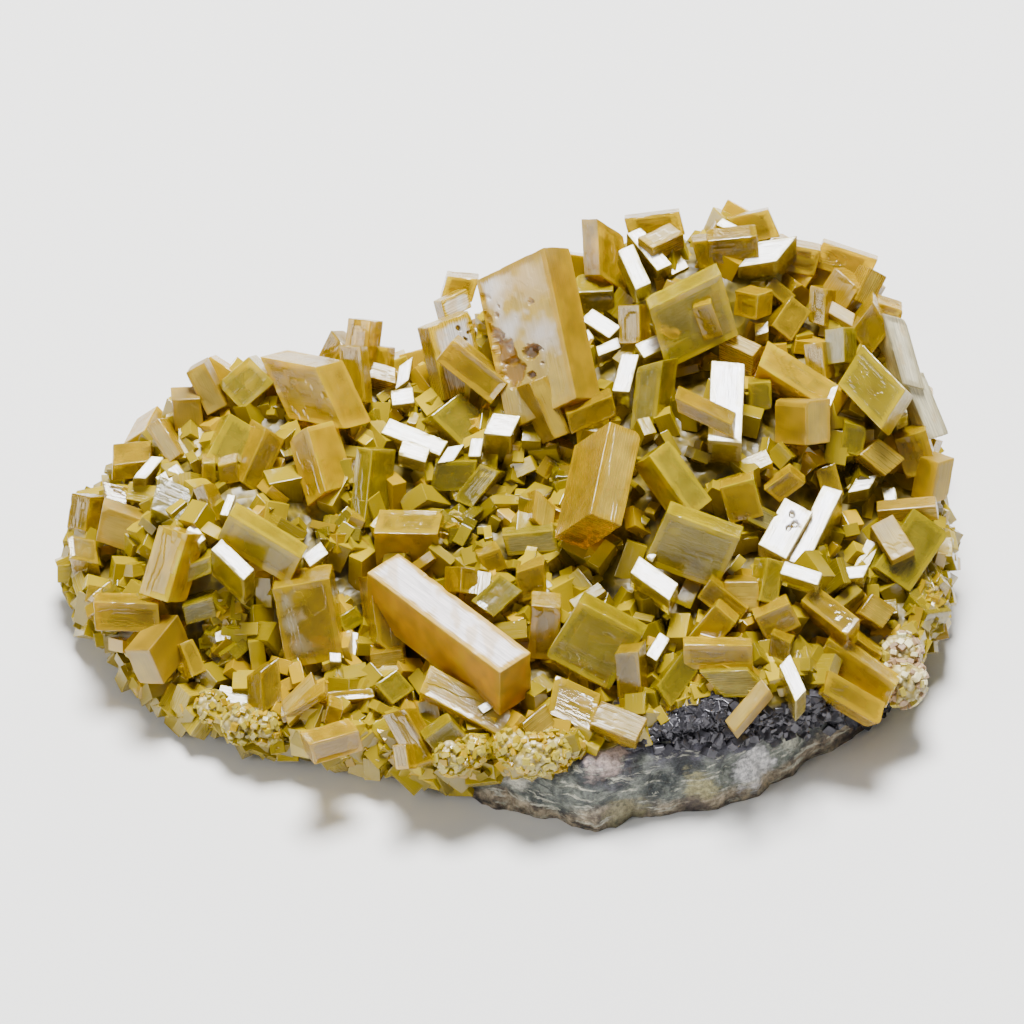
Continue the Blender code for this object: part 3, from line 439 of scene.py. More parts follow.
# The other softboxes: name, place seen from the specimen, size, power
FILLS = (("left_fill", (-1.1, -0.7, 0.7), 0.7, 9), ("back_rim", (0.2, 1.2, 0.5), 0.5, 5))
SKY_COLOUR = "#DDE3EA"
SKY_STRENGTH = 0.3
# Width of the camera's sensor in mm, and how far the camera stands off in metres
SENSOR = 36
CAMERA_DISTANCE = 3.0


def linear(code):
    """A hex colour as the linear red, green and blue that shaders and attributes take."""
    parts = np.array([int(code[i:i + 2], 16) / 255 for i in (1, 3, 5)])
    return np.where(parts <= 0.04045, parts / 12.92, ((parts + 0.055) / 1.055) ** 2.4)


def rgba(code):
    """The same with an alpha of 1."""
    return (*map(float, linear(code)), 1.0)


def lattice_value(cell, seed):
    """A fixed random number from 0 to 1 for each whole-number cell: its bits mixed by large odd factors."""
    x, y, z = cell[..., 0], cell[..., 1], cell[..., 2]
    bits = (x * 73856093) ^ (y * 19349663) ^ (z * 83492791) ^ (seed * 2654435)
    bits = (bits ^ (bits >> 13)) * 1274126177 & 0x7FFFFFFF
    bits = (bits ^ (bits >> 16)) & 0xFFFFFF
    return bits / 0xFFFFFF


def smooth_noise(points, size, seed):
    """Noise from -1 to 1 with lumps of the given size: cell corners blended by 3t^2 - 2t^3."""
    scaled = points / size + 1000
    low = np.floor(scaled).astype(np.int64)
    t = scaled - low
    t = t * t * (3 - 2 * t)
    total = 0
    for corner in np.ndindex(2, 2, 2):
        step = np.array(corner)
        weight = np.prod(np.where(step == 1, t, 1 - t), axis=-1)
        total = total + weight * lattice_value(low + step, seed)
    return 2 * total - 1


def rough_noise(points, size, seed, octaves=3):
    """Sum of noises, each of half the size and half the strength of the one before."""
    return sum(
        smooth_noise(points, size / 2**k, seed + 17 * k) / 2**k for k in range(octaves)
    )


def outline_radius(outline, bearing):
    """Distance from the middle to the plan outline at a bearing, between its points by angle."""
    points = np.array(outline, float)
    angles = np.arctan2(points[:, 1], points[:, 0])
    radii = np.hypot(points[:, 0], points[:, 1])
    order = np.argsort(angles)
    return np.interp(bearing, angles[order], radii[order], period=2 * math.pi)


def ground(x, y):
    """Height of the flat underside."""
    return 0 * x


def rock_top(x, y):
    """Height of the rock, by straight lines between the given heights from left to right."""
    across, heights = zip(*ROCK_TOP)
    return np.interp(x, across, heights) + 0 * y


def crust_top(x, y):
    """Height of the crust: the mean of the given heights, each weighed by its nearness."""
    given = np.array(CRUST_HEIGHTS, float)
    apart = (np.asarray(x)[..., None] - given[:, 0]) ** 2 + (np.asarray(y)[..., None] - given[:, 1]) ** 2
    weight = 1 / (apart + CRUST_SOFTNESS**2) ** 2
    return (weight * given[:, 2]).sum(-1) / weight.sum(-1)


def crust_floor(x, y):
    """Underside of the crust: a little below the rock's top, and never under its lowest level."""
    return np.maximum(rock_top(x, y) - CRUST_BELOW_ROCK_TOP, CRUST_LOWEST)


def domed(plan, roundness):
    """Share of the full height at a share of the plan radius: flat, then falling to the edge."""
    return (1 - np.clip(plan, 0, 1) ** roundness) ** (1 / roundness)


def on_view(point):
    """Across and up in mm, in the plane of the view, of readings in view units."""
    point = np.asarray(point, float)
    across = (point[..., 0] - VIEW_MIDDLE_ACROSS) * UNIT
    up = LOWEST_FRONT_Y * VIEW_UP[1] + (VIEW_LOWEST_DOWN - point[..., 1]) * UNIT
    return np.stack((across, up), axis=-1)


def along_sight(places):
    """Points in mm along the lines of sight through places in the view, one row for each."""
    x = places[:, :1] + 0 * SIGHT
    y = places[:, 1:] * VIEW_UP[1] + SIGHT * VIEW_NEAR[1]
    z = places[:, 1:] * VIEW_UP[2] + SIGHT * VIEW_NEAR[2]
    return x, y, z


def crust_nearness(places):
    """How near the viewer, in mm, the lines of sight through places in the view meet the crust."""
    x, y, z = along_sight(places)
    return SIGHT[np.argmax(z < crust_top(x, y), axis=1)]


def dome_nearness(places, outline, floor, top, roundness):
    """The same for a dome over an outline."""
    x, y, z = along_sight(places)
    plan = np.hypot(x, y) / outline_radius(outline, np.arctan2(y, x))
    low = floor(x, y)
    inside = (plan < 1) & (z < low + (top(x, y) - low) * domed(plan, roundness)) & (z > low)
    return SIGHT[np.argmax(inside, axis=1)]


def rock_nearness(places):
    """How near the viewer the lines of sight meet the rock."""
    return dome_nearness(places, ROCK_OUTLINE, ground, rock_top, ROCK_ROUNDNESS)


def crust_wall_nearness(places):
    """How near the viewer the lines of sight meet the crust, its wall included, or the farthest
    step where they miss it."""
    near = dome_nearness(places, CRUST_OUTLINE, crust_floor, crust_top, CRUST_ROUNDNESS)
    return np.where(near < MISSED, near, SIGHT[-1])


def in_space(places, near):
    """Points in mm from places in the view and their nearness to the viewer."""
    return (
        places[..., :1] * VIEW_RIGHT + places[..., 1:] * VIEW_UP + np.asarray(near)[..., None] * VIEW_NEAR
    )


def unit(vectors):
    """Each row at a length of one."""
    return vectors / np.linalg.norm(vectors, axis=1)[:, None]


def blocks_from_edges(centres, edges):
    """Blocks, arrays of slanting boxes as centres, unit edge directions and half sizes, from their
    centres and edge vectors: the longer broad edge first and the faces out."""
    edges = np.array(edges, float)
    lengths = np.linalg.norm(edges, axis=2)
    short = lengths[:, 0] < lengths[:, 1]
    edges[short] = edges[short][:, (1, 0, 2)]
    edges[np.linalg.det(edges) < 0, 1] *= -1
    lengths = np.linalg.norm(edges, axis=2)
    return {"centre": np.array(centres), "axes": edges / lengths[..., None], "half": lengths / 2}


def face_area(crystal):
    """Area of a crystal's broad face in the view."""
    a = np.subtract(crystal.first, crystal.corner)
    b = np.subtract(crystal.second, crystal.corner)
    return abs(a[0] * b[1] - a[1] * b[0])


def read_blocks(crystals):
    """The listed crystals as blocks: each broad face is lifted off the view onto its leaning plane."""
    corners = on_view([c.corner for c in crystals])
    firsts = on_view([c.first for c in crystals]) - corners
    seconds = on_view([c.second for c in crystals]) - corners
    side, tilt = np.radians(np.array([c.lean for c in crystals], float)).T
    thick = np.array([c.thick for c in crystals], float)
    rise = np.array([c.rise for c in crystals], float)
    facing = (
        (-np.sin(tilt) * np.cos(side))[:, None] * VIEW_RIGHT
        + (-np.sin(tilt) * np.sin(side))[:, None] * VIEW_UP
        + np.cos(tilt)[:, None] * VIEW_NEAR
    )
    slope = np.tan(tilt)[:, None] * np.stack((np.cos(side), np.sin(side)), axis=1)
    middles = corners + (firsts + seconds) / 2
    nears = crust_nearness(middles) + rise
    faces = in_space(middles, nears)
    along = in_space(firsts, (slope * firsts).sum(1))
    wide = in_space(seconds, (slope * seconds).sum(1))
    depth = facing * thick[:, None]
    blocks = blocks_from_edges(faces - depth / 2, np.stack((along, wide, depth), axis=1))
    sunk = np.maximum(rise - thick, 0) + ROOT_DEPTH
    rooted = rise > ROOT_FROM * thick
    backs = faces - depth + 0.1 * depth - sunk[:, None] / 2 * VIEW_NEAR
    root_edges = np.stack((along * ROOT_SHARE, wide * ROOT_SHARE, sunk[:, None] * VIEW_NEAR), axis=1)
    roots = blocks_from_edges(backs[rooted], root_edges[rooted])
    return blocks, roots


def turned_frames(outward, spin):
    """Edge directions with the first one along outward, turned about it by spin."""
    up = np.where(np.abs(outward[:, 2:]) > 0.95, (1.0, 0, 0), (0, 0, 1.0))
    side = unit(np.cross(up, outward))
    top = np.cross(outward, side)
    c, s = np.cos(spin)[:, None], np.sin(spin)[:, None]
    return np.stack((outward, c * side + s * top, c * top - s * side), axis=1)


def turned_blocks(centres, outward, spin, half):
    """Blocks with their first edge along outward, turned about it by spin."""
    return {"centre": centres, "axes": turned_frames(outward, spin), "half": half}


def crust_places(bearing, plan):
    """Points on the crust at a bearing and a share of the plan radius."""
    radius = outline_radius(CRUST_OUTLINE, bearing) * plan
    x, y = radius * np.cos(bearing), radius * np.sin(bearing)
    low = crust_floor(x, y)
    top = low + (crust_top(x, y) - low) * domed(plan, CRUST_ROUNDNESS)
    return np.stack((x, y, top), axis=1)


def back_blocks():
    """The crystals of the hidden sides, drawn in the same order as in the solids."""
    draw = random.Random(BACK_SEED)
    centres, frames, halves = [], [], []
    for _ in range(BACK_COUNT):
        bearing = math.radians(draw.uniform(*BACK_BEARINGS))
        plan = draw.uniform(*BACK_PLAN)
        radius = float(outline_radius(CRUST_OUTLINE, bearing)) * plan
        x, y = radius * math.cos(bearing), radius * math.sin(bearing)
        low = max(float(rock_top(x, y)), CRUST_LOWEST) + BACK_ABOVE_ROCK
        top = low + (float(crust_top(x, y)) - low) * float(domed(plan, CRUST_ROUNDNESS))
        place = Vector((x, y, draw.uniform(low, top)))
        outward = Vector((math.cos(bearing), math.sin(bearing), draw.uniform(0.2, 1.4))).normalized()
        size = [draw.uniform(*BACK_LONG), draw.uniform(*BACK_WIDE), draw.uniform(*BACK_THICK)]
        turn = outward.to_track_quat("X", "Z").to_matrix()
        spun = turn @ Matrix.Rotation(draw.uniform(0, math.pi), 3, "X")
        centres.append(place - outward * (BACK_SUNK * size[0]))
        frames.append(np.array(spun).T)
        halves.append(np.array(size) / 2)
    return {"centre": np.array(centres), "axes": np.array(frames), "half": np.array(halves)}


def block_lattice(counts):
    """A box's surface as a lattice of counts[0] x counts[1] x counts[2] cells, seams already welded.

    Returns whole-number positions, the quads facing out, and each quad's axis.
    """
    quads, axes, points = [], [], []
    for axis in range(3):
        a, b = (axis + 1) % 3, (axis + 2) % 3
        i, j = np.meshgrid(np.arange(counts[a]), np.arange(counts[b]), indexing="ij")
        for side in (0, 1):
            square = np.zeros((i.size, 4, 3), int)
            square[..., axis] = side * counts[axis]
            turn = ((0, 0), (1, 0), (1, 1), (0, 1)) if side else ((0, 0), (0, 1), (1, 1), (1, 0))
            for k, (di, dj) in enumerate(turn):
                square[:, k, a] = i.ravel() + di
                square[:, k, b] = j.ravel() + dj
            quads.append(square)
            axes.append(np.full(i.size, axis))
    quads = np.concatenate(quads)
    points, index = np.unique(quads.reshape(-1, 3), axis=0, return_inverse=True)
    return points, index.reshape(-1, 4), np.concatenate(axes)


def ticks(half, count, bevel):
    """Lattice lines along one edge of each block: its ends, a bevel's width and a rim's width inside
    them, and even ones between."""
    rim = np.minimum(RIM_WIDTH, 0.4 * half)[:, None]
    half, bevel = half[:, None], bevel[:, None]
    ends = (half, half - bevel, half - rim) if count > 5 else (half, half - bevel)
    inner = np.linspace(-1, 1, count + 1 - 2 * (len(ends) - 1)) * ends[-1]
    outer = np.concatenate(ends[:-1], axis=1)
    return np.concatenate((-outer, inner, outer[:, ::-1]), axis=1)


def grow(blocks, counts, bevel, seed, relief=None, chips=0.0, cuts=0, cut_share=0.2):
    """Crystals from blocks, all at once. Each point of a box's lattice is rounded to the box shrunk by
    the bevel plus the bevel's radius, which noise makes larger where the rim is chipped. Broad faces get
    terraces: noise cut into steps. Corner cuts move what lies beyond a slanting plane onto it."""
    rng = np.random.default_rng(seed)
    points, quads, quad_axes = block_lattice(counts)
    half = blocks["half"]
    number = len(half)
    radius = np.minimum(bevel, half.min(axis=1) * 0.3)
    local = np.stack(
        [ticks(half[:, k], counts[k], radius)[:, points[:, k]] for k in range(3)], axis=2
    )
    offset = rng.uniform(0, 500, (number, 1, 3))
    to_edge = np.sort(half[:, None, :] - np.abs(local), axis=2)[..., 1]
    broad = (local[..., 2] > half[:, None, 2] - 1e-6) * np.clip(to_edge / radius[:, None], 0.3, 1)
    chip = np.clip(rough_noise(local + offset, CHIP_SIZE, seed, 2) - 0.25, 0, 1) * chips
    rounding = np.minimum(radius[:, None] * (1 + chip), half.min(axis=1)[:, None] * 0.6)
    core = np.clip(local, -(half[:, None] - rounding[..., None]), half[:, None] - rounding[..., None])
    out = local - core
    length = np.maximum(np.linalg.norm(out, axis=2, keepdims=True), 1e-9)
    shaped = core + out / length * rounding[..., None]
    if relief is not None:
        side = np.argmax(np.abs(local) - half[:, None, :], axis=2)
        stretched = (local + offset) * (0.3, 1.0, 1.0)
        steps = np.floor(rough_noise(stretched, TERRACE_SIZE, seed + 3, 2) * TERRACE_STEPS) / TERRACE_STEPS
        sink = relief[:, None] * np.clip((to_edge - 0.2) / 0.5, 0, 1) * np.clip(steps + 0.35, 0, 1)
        for axis, share in ((0, 0.4), (1, 0.6), (2, 1.0)):
            shaped[..., axis] -= np.sign(local[..., axis]) * (side == axis) * sink * share
    for _ in range(cuts):
        signs = rng.choice((-1.0, 1.0), (number, 3))
        signs[:, 2] *= rng.choice((0.0, 0.6, 1.0), number)
        signs[:, :2] *= rng.uniform(0.5, 1.0, (number, 2))
        normal = unit(signs)
        reach = (np.abs(normal) * half).sum(axis=1)
        depth = rng.uniform(0.3, 1.0, number) * cut_share * half.min(axis=1) * 2
        beyond = np.clip((shaped * normal[:, None]).sum(axis=2) - (reach - depth)[:, None], 0, None)
        shaped -= beyond[..., None] * normal[:, None]
    world = blocks["centre"][:, None] + np.einsum("cmk,ckx->cmx", shaped, blocks["axes"])
    inward = np.repeat(-blocks["axes"][:, 2], len(points), axis=0)
    return {
        "points": world.reshape(-1, 3),
        "quads": (quads[None] + np.arange(number)[:, None, None] * len(points)).reshape(-1, 4),
        "to_edge": to_edge.reshape(-1),
        "broad": broad.reshape(-1),
        "inward": inward,
        "owner": np.repeat(np.arange(number), len(points)),
        "uv": face_uv(local, quads, quad_axes, offset),
    }


def face_uv(local, quads, quad_axes, offset):
    """UV in mm on each face, the long way along U, moved by a different amount on each crystal."""
    corner = (local + offset)[:, quads]
    uv = np.empty(corner.shape[:3] + (2,))
    for axis in range(3):
        a, b = ((1, 2), (0, 2), (0, 1))[axis]
        chosen = quad_axes == axis
        uv[:, chosen, :, 0] = corner[:, chosen, :, a]
        uv[:, chosen, :, 1] = corner[:, chosen, :, b]
    return uv.reshape(-1, 2)


def joined(shells):
    """Several grown arrays as one."""
    plain = ("points", "to_edge", "broad", "inward", "uv")
    whole = {key: np.concatenate([s[key] for s in shells]) for key in plain}
    point_start = np.cumsum([0] + [len(s["points"]) for s in shells])
    owner_start = np.cumsum([0] + [s["owner"].max() + 1 for s in shells])
    whole["quads"] = np.concatenate([s["quads"] + n for s, n in zip(shells, point_start)])
    whole["owner"] = np.concatenate([s["owner"] + n for s, n in zip(shells, owner_start)])
    return whole


def crystal_colours(shell, tints, seed):
    """Attributes of each point: its colour, that of the rim beside it, its white of frosting and painted
    flash, its polish and its distance to the nearest edge. Broad faces take the face colour and all others
    the side colour; cloudy patches some millimetres wide change both, and each crystal is a little lighter
    or darker than the next."""
    rng = np.random.default_rng(seed)
    owner = shell["owner"]
    face, side, rim = (
        np.array([linear(getattr(t, key)) for t in tints])[owner] for key in ("face", "side", "rim")
    )
    frost, side_frost, rough = (
        np.array([getattr(t, key) for t in tints])[owner] for key in ("frost", "side_frost", "rough")
    )
    own = rng.normal(0, 1, (len(tints), 2))[owner]
    cloud = rough_noise(shell["points"], CLOUD_SIZE, seed + 5)
    fine = rough_noise(shell["points"], MOTTLE_SIZE, seed + 6, 2)
    # On white faces, frosting and painted flash alike, the gold below shows through in slanting streaks
    slanting = shell["points"] @ np.array(((0.4, 0.9, 0.2), (-0.25, 0.1, 0.2), (0.1, 0.2, 0.9)))
    streak = np.clip((rough_noise(slanting, STREAK_SIZE, seed + 7, 3) - 0.1) / 0.4, 0, 1)[:, None] / 2
    broad = shell["broad"][:, None]
    # Share of white: real frosting, and on faces turned to the key light a painted reflection of the
    # softbox
    frost_and_flash_share = frost[:, None] * broad + side_frost[:, None] * (1 - broad)
    shade = (1 + 0.12 * own[:, :1]) * (1 + (0.22 * cloud + 0.25 * fine)[:, None] * (1 - frost_and_flash_share))
    colour = (side * (1 - broad) + face * broad) * shade
    colour = colour * (1 - streak * frost_and_flash_share) + linear(STREAK_COLOUR) * streak * frost_and_flash_share
    return {
        "tint": np.clip(colour, 0.002, 0.95),
        "rim_tint": np.clip(rim * shade, 0.002, 0.95),
        "frost": frost_and_flash_share[:, 0],
        "polish": np.clip(rough * (1 + 0.2 * own[:, 1]), 0.05, 0.9),
        "to_edge": shell["to_edge"] + 0.35 * fine,
    }


def dig_pits(shell, values, names):
    """Pushes points near a pit in and gives them its colour; noise makes the pit's outline ragged. A pit
    with no depth is a stain that keeps the face's frosting and painted flash; the pale ones on the great
    plate are partly painted reflection."""
    flat = np.stack((shell["points"] @ VIEW_RIGHT, shell["points"] @ VIEW_UP), axis=1)
    ragged = 1 + 0.5 * rough_noise(shell["points"], 1.2, 77, 2)
    for pit in PITS:
        if pit.crystal not in names:
            continue
        mine = (shell["owner"] == names.index(pit.crystal)) & (shell["broad"] > 0.9)
        apart = np.linalg.norm(flat - on_view(pit.place), axis=1) * ragged / pit.radius
        share = np.clip((1.15 - apart) / (0.3 if pit.depth else 0.9), 0, 1) * mine
        shell["points"] = shell["points"] + shell["inward"] * (share * pit.depth)[:, None]
        values["tint"] = values["tint"] * (1 - share[:, None]) + linear(pit.colour) * share[:, None]
        if pit.depth:
            values["frost"] = values["frost"] * (1 - share)


def make_piece(name, points, faces, material, uv=None, values=None, smooth=False):
    """A piece at the origin from points in mm, with its attributes, riding on the specimen's one body."""
    mesh = bpy.data.meshes.new(name)
    mesh.from_pydata(((points + ORIGIN_SHIFT) * MM).tolist(), [], faces)
    if uv is not None:
        mesh.uv_layers.new(name="mm").data.foreach_set("uv", uv.astype(np.float32).ravel())
    for key, value in (values or {}).items():
        if value.ndim == 2:
            layer = mesh.color_attributes.new(key, "FLOAT_COLOR", "POINT")
            full = np.concatenate((value, np.ones((len(value), 1))), axis=1)
            layer.data.foreach_set("color", full.astype(np.float32).ravel())
        else:
            mesh.attributes.new(key, "FLOAT", "POINT").data.foreach_set("value", value.astype(np.float32))
    mesh.materials.append(material)
    if smooth:
        mesh.shade_smooth()
    piece = bpy.data.objects.new(name, mesh)
    bpy.context.scene.collection.objects.link(piece)
    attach(piece, "root")
    return piece


def crystal_piece(name, shells, tints, seed, names=(), clear=False, lucid=False):
    """A piece of crystals from grown shells, with colours, pits and stains. Cloudy crystals take a
    deeper tint, as no depth below their surface adds to it."""
    shell = joined(shells)
    values = crystal_colours(shell, tints, seed)
    if not clear:
        deeper = (CLOUDY_SHARE if lucid else CLOUDY_SHARE**3) ** (1 - values["frost"][:, None])
        values["tint"] = values["tint"] * deeper
        values["rim_tint"] = values["rim_tint"] * deeper
    values["to_edge"] = values["to_edge"] * (CLEAR_RIM if clear else CLOUDY_RIM)
    dig_pits(shell, values, list(names))
    shell["points"][:, 2] = np.maximum(shell["points"][:, 2], GROUND_GAP)
    material = barite_material(clear, lucid)
    quads = shell["quads"].tolist()
    return make_piece(name, shell["points"], quads, material, shell["uv"], values)


def dome_surface(outline, floor, top, roundness, cells, wobble):
    """A closed dome on a grid of bearing and distance: over its outline, domed to top(x, y), then back
    under along floor(x, y). Noise moves the upper side in and out."""
    bearing = np.linspace(0, 2 * math.pi, cells[0], endpoint=False)[None]
    turn = np.linspace(0, math.pi, cells[1])[1:-1, None]
    share = np.sin(turn) + 0 * bearing
    upper = (turn < math.pi / 2) & (share > 0)
    radius = outline_radius(outline, bearing) * share
    x, y = radius * np.cos(bearing), radius * np.sin(bearing)
    low = floor(x, y)
    high = low + (top(x, y) - low) * domed(share, roundness)
    points = np.stack((x, y, np.where(upper, high, low)), axis=-1)
    rim = np.where(upper, 1.0, share**12)
    rise = np.where(upper, 1.02 - share**4, 0)
    outward = np.stack((np.cos(bearing) * share**2, np.sin(bearing) * share**2, rise), axis=-1)
    outward /= np.maximum(np.linalg.norm(outward, axis=-1, keepdims=True), 1e-6)
    return closed_grid(points + outward * (wobble(points) * rim)[..., None])


def closed_grid(rows):
    """Points and faces of a grid that closes round each row and ends in a point at both sides."""
    count, around = rows.shape[:2]
    poles = np.stack((rows[0].mean(axis=0), rows[-1].mean(axis=0)))
    points = np.concatenate((rows.reshape(-1, 3), poles))
    i, j = np.meshgrid(np.arange(count - 1), np.arange(around), indexing="ij")
    k = (j + 1) % around
    quads = np.stack((i * around + j, (i + 1) * around + j, (i + 1) * around + k, i * around + k), -1)
    j = np.arange(around)
    k = (j + 1) % around
    first = np.stack((np.full(around, count * around), j, k), -1)
    last_row = (count - 1) * around
    last = np.stack((np.full(around, count * around + 1), last_row + k, last_row + j), -1)
    faces = [*quads.reshape(-1, 4).tolist(), *first.tolist(), *last.tolist()]
    return points, faces


def fill(node, **inputs):
    """Fills inputs of a node, by name or number, each with a value or another node's output."""
    for key, value in inputs.items():
        socket = node.inputs[int(key[1:]) if key[1:].isdigit() else key.replace("_", " ")]
        if isinstance(value, bpy.types.NodeSocket):
            node.id_data.links.new(value, socket)
        else:
            socket.default_value = value


def add_node(tree, kind, settings=None, **inputs):
    """A shader node with its settings and inputs."""
    made = tree.nodes.new("ShaderNode" + kind)
    for key, value in (settings or {}).items():
        setattr(made, key, value)
    fill(made, **inputs)
    return made


def mixed(tree, share, low, high):
    """A colour from low to high by a share."""
    return add_node(tree, "Mix", {"data_type": "RGBA"}, i0=share, i6=low, i7=high).outputs[2]


def blended(tree, share, low, high):
    """A value from low to high by a share."""
    return add_node(tree, "Mix", {}, i0=share, i2=low, i3=high).outputs[0]


def scaled(tree, colour, share):
    """A colour made lighter or darker by a share."""
    return add_node(tree, "VectorMath", {"operation": "SCALE"}, i0=colour, Scale=share).outputs[0]


def worked(tree, kind, *values):
    """The result of a Math node."""
    inputs = {f"i{k}": value for k, value in enumerate(values)}
    return add_node(tree, "Math", {"operation": kind}, **inputs).outputs[0]


def ranged(tree, value, low=0.0, high=1.0, first=0.0, last=1.0, kind="LINEAR"):
    """What a value from low to high gives on the way from first to last."""
    return add_node(tree, "MapRange", {"interpolation_type": kind}, Value=value, From_Min=low,
                    From_Max=high, To_Min=first, To_Max=last).outputs[0]


def noise(tree, place, size, detail, **more):
    """Noise with lumps of a size in mm."""
    return add_node(tree, "TexNoise", {}, Vector=place, Scale=1 / (size * MM), Detail=detail,
                    **more).outputs["Fac"]


def cell_distance(tree, size):
    """Distance to the middle of the nearest cell, for cells of a size in mm."""
    place = add_node(tree, "TexCoord").outputs["Object"]
    return add_node(tree, "TexVoronoi", {}, Vector=place, Scale=1 / (size * MM)).outputs["Distance"]


def bumped(tree, height, strength, depth, invert=False):
    """The normal of bumps with a depth in mm."""
    return add_node(tree, "Bump", {"invert": invert}, Strength=strength, Distance=depth * MM,
                    Height=height).outputs[0]


def new_material(name):
    """An empty node tree with its Principled shader and output."""
    made = bpy.data.materials.new(name)
    made.use_nodes = True
    shader = made.node_tree.nodes["Principled BSDF"]
    return made, made.node_tree, shader, made.node_tree.nodes["Material Output"]


def barite_material(clear, lucid=False):
    """Barite, golden, as grown from solution: glassy and see-through with milky depths. Striations along
    each face break its mirror flashes into fine lines. Faces with frosting are white; faces turned to the
    key light are painted white as well, a painted reflection of the softbox, and the striations break both
    into silky lines. The yellow stands strongest in a ragged band along the rims. The largest crystals are
    clear and their depth absorbs blue light; lucid ones let light through but have no such depth; the rest
    is cloudy."""
    name = "golden_barite_clear" if clear else "golden_barite_lucid" if lucid else "golden_barite_cloudy"
    if name in bpy.data.materials:
        return bpy.data.materials[name]
    settings = bpy.context.scene.barite
    made, tree, shader, output = new_material(name)
    read = {
        key: add_node(tree, "Attribute", {"attribute_name": key}).outputs[kind]
        for key, kind in (("tint", "Color"), ("rim_tint", "Color"), ("frost", "Fac"), ("polish", "Fac"),
                          ("to_edge", "Fac"))
    }
    uv = add_node(tree, "TexCoord").outputs["UV"]
    stretched = add_node(tree, "Mapping", {}, Vector=uv, Scale=STRIATIONS).outputs[0]
    lines = noise(tree, stretched, 1 / MM, 2.0, Roughness=0.7)
    ragged = worked(tree, "MULTIPLY_ADD", lines, 0.9, read["to_edge"])
    at_rim = ranged(tree, ragged, 0.75, 1.3, 1.0, 0.0, "SMOOTHSTEP")
    colour = mixed(tree, at_rim, read["tint"], read["rim_tint"])
    # The striations make the white of frosting and of painted flash lighter and darker in lines
    silky = blended(tree, read["frost"], 1.0, ranged(tree, lines, 0.3, 0.7, 0.55, 1.15))
    worn = ranged(tree, lines, 0.35, 0.75, -0.04, 0.12)
    fill(shader, Base_Color=scaled(tree, colour, silky), IOR=BARITE_IOR,
         Roughness=worked(tree, "ADD", read["polish"], worn), Normal=bumped(tree, lines, 0.4, 0.1))
    if clear or lucid:
        # White faces let less light through: frosting, and the painted flash kept opaque
        milky = worked(tree, "MULTIPLY", read["frost"], worked(tree, "MULTIPLY_ADD", at_rim, -0.7, 1.0))
        fill(shader, Transmission_Weight=ranged(tree, milky, first=settings.clearness, last=0.0))
    if clear:
        depth = add_node(tree, "VolumeAbsorption", {}, Color=BARITE_DEPTH_COLOUR,
                         Density=settings.absorption)
        fill(output, Volume=depth.outputs[0])
    return made


def crust_material():
    """Barite crust between the crystals: fine druse, dull brown-gold, kept dark with painted shade of the
    gaps between the crystals.
    """
    made, tree, shader, _ = new_material("barite_druse_between_crystals")
    apart = cell_distance(tree, 1.4)
    colour = mixed(tree, ranged(tree, apart, high=0.8), rgba("#40360C"), rgba("#786818"))
    fill(shader, Base_Color=colour, Normal=bumped(tree, apart, 0.5, 0.4), Roughness=0.4)
    return made


def rock_material():
    """Dark country rock, broken by hammer: gritty and dull. A blue-black fringe under the barite, then
    greenish grey with pale flecks drawn out in the bedding, and brown-grey quartz low down."""
    made, tree, shader, _ = new_material("dark_banded_rock_broken")
    place = add_node(tree, "TexCoord").outputs["Object"]

    def between(value, low, high, first=0.0, last=1.0):
        return ranged(tree, value, low, high, first, last, "SMOOTHSTEP")

    wander = noise(tree, place, 6, 4.0)
    grain = noise(tree, place, 0.7, 6.0, Roughness=0.72)
    blot = noise(tree, place, 2.5, 5.0, Roughness=0.6)
    # Bedding rises to the right, so flecks are long along it and thin across it
    bedding = add_node(tree, "Mapping", {}, Vector=place, Rotation=(0.5, math.radians(-20), 0.0),
                       Scale=(0.3, 0.6, 1.6)).outputs[0]
    fleck = noise(tree, bedding, 1.5, 6.0, Roughness=0.65, Distortion=0.6)
    torn = blended(tree, 0.5, blot, fleck)
    height = add_node(tree, "SeparateXYZ", {}, Vector=place).outputs["Z"]
    uneven = worked(tree, "MULTIPLY_ADD", wander, 12 * MM, height)
    top = between(uneven, 13.5 * MM, 16 * MM)
    low = between(uneven, 10.0 * MM, 7.5 * MM)
    blotted = between(blot, 0.35, 0.65)
    grey = mixed(tree, blotted, rgba("#34393A"), rgba("#7C8076"))
    quartz = mixed(tree, blotted, rgba("#4C4038"), rgba("#B9A88C"))
    fringe = mixed(tree, blotted, rgba("#201F26"), rgba("#5C5A66"))
    base = mixed(tree, top, mixed(tree, low, grey, quartz), fringe)
    base = mixed(tree, between(fleck, 0.55, 0.63, 0.0, 0.8), base, rgba("#C9C6B2"))
    base = mixed(tree, between(fleck, 0.42, 0.34, 0.0, 0.8), base, rgba("#26282B"))
    middles = on_view([patch.place for patch in ROCK_PATCHES])
    middles = in_space(middles, rock_nearness(middles)) + ORIGIN_SHIFT
    for patch, middle in zip(ROCK_PATCHES, middles):
        reach = patch.radius * MM
        apart = add_node(tree, "VectorMath", {"operation": "DISTANCE"}, i0=place,
                         i1=tuple(middle * MM)).outputs["Value"]
        edge = worked(tree, "MULTIPLY_ADD", torn, reach * 4, apart)
        share = between(edge, reach * 2.4, reach * 3.1, 0.85, 0.0)
        base = mixed(tree, share, base, rgba(patch.colour))
    both = worked(tree, "MULTIPLY_ADD", fleck, 0.6, grain)
    fill(shader, Base_Color=scaled(tree, base, between(grain, 0.3, 0.7, 0.45, 1.6)),
         Normal=bumped(tree, both, 0.9, 0.6), Roughness=ranged(tree, grain, first=0.3, last=0.8))
    return made


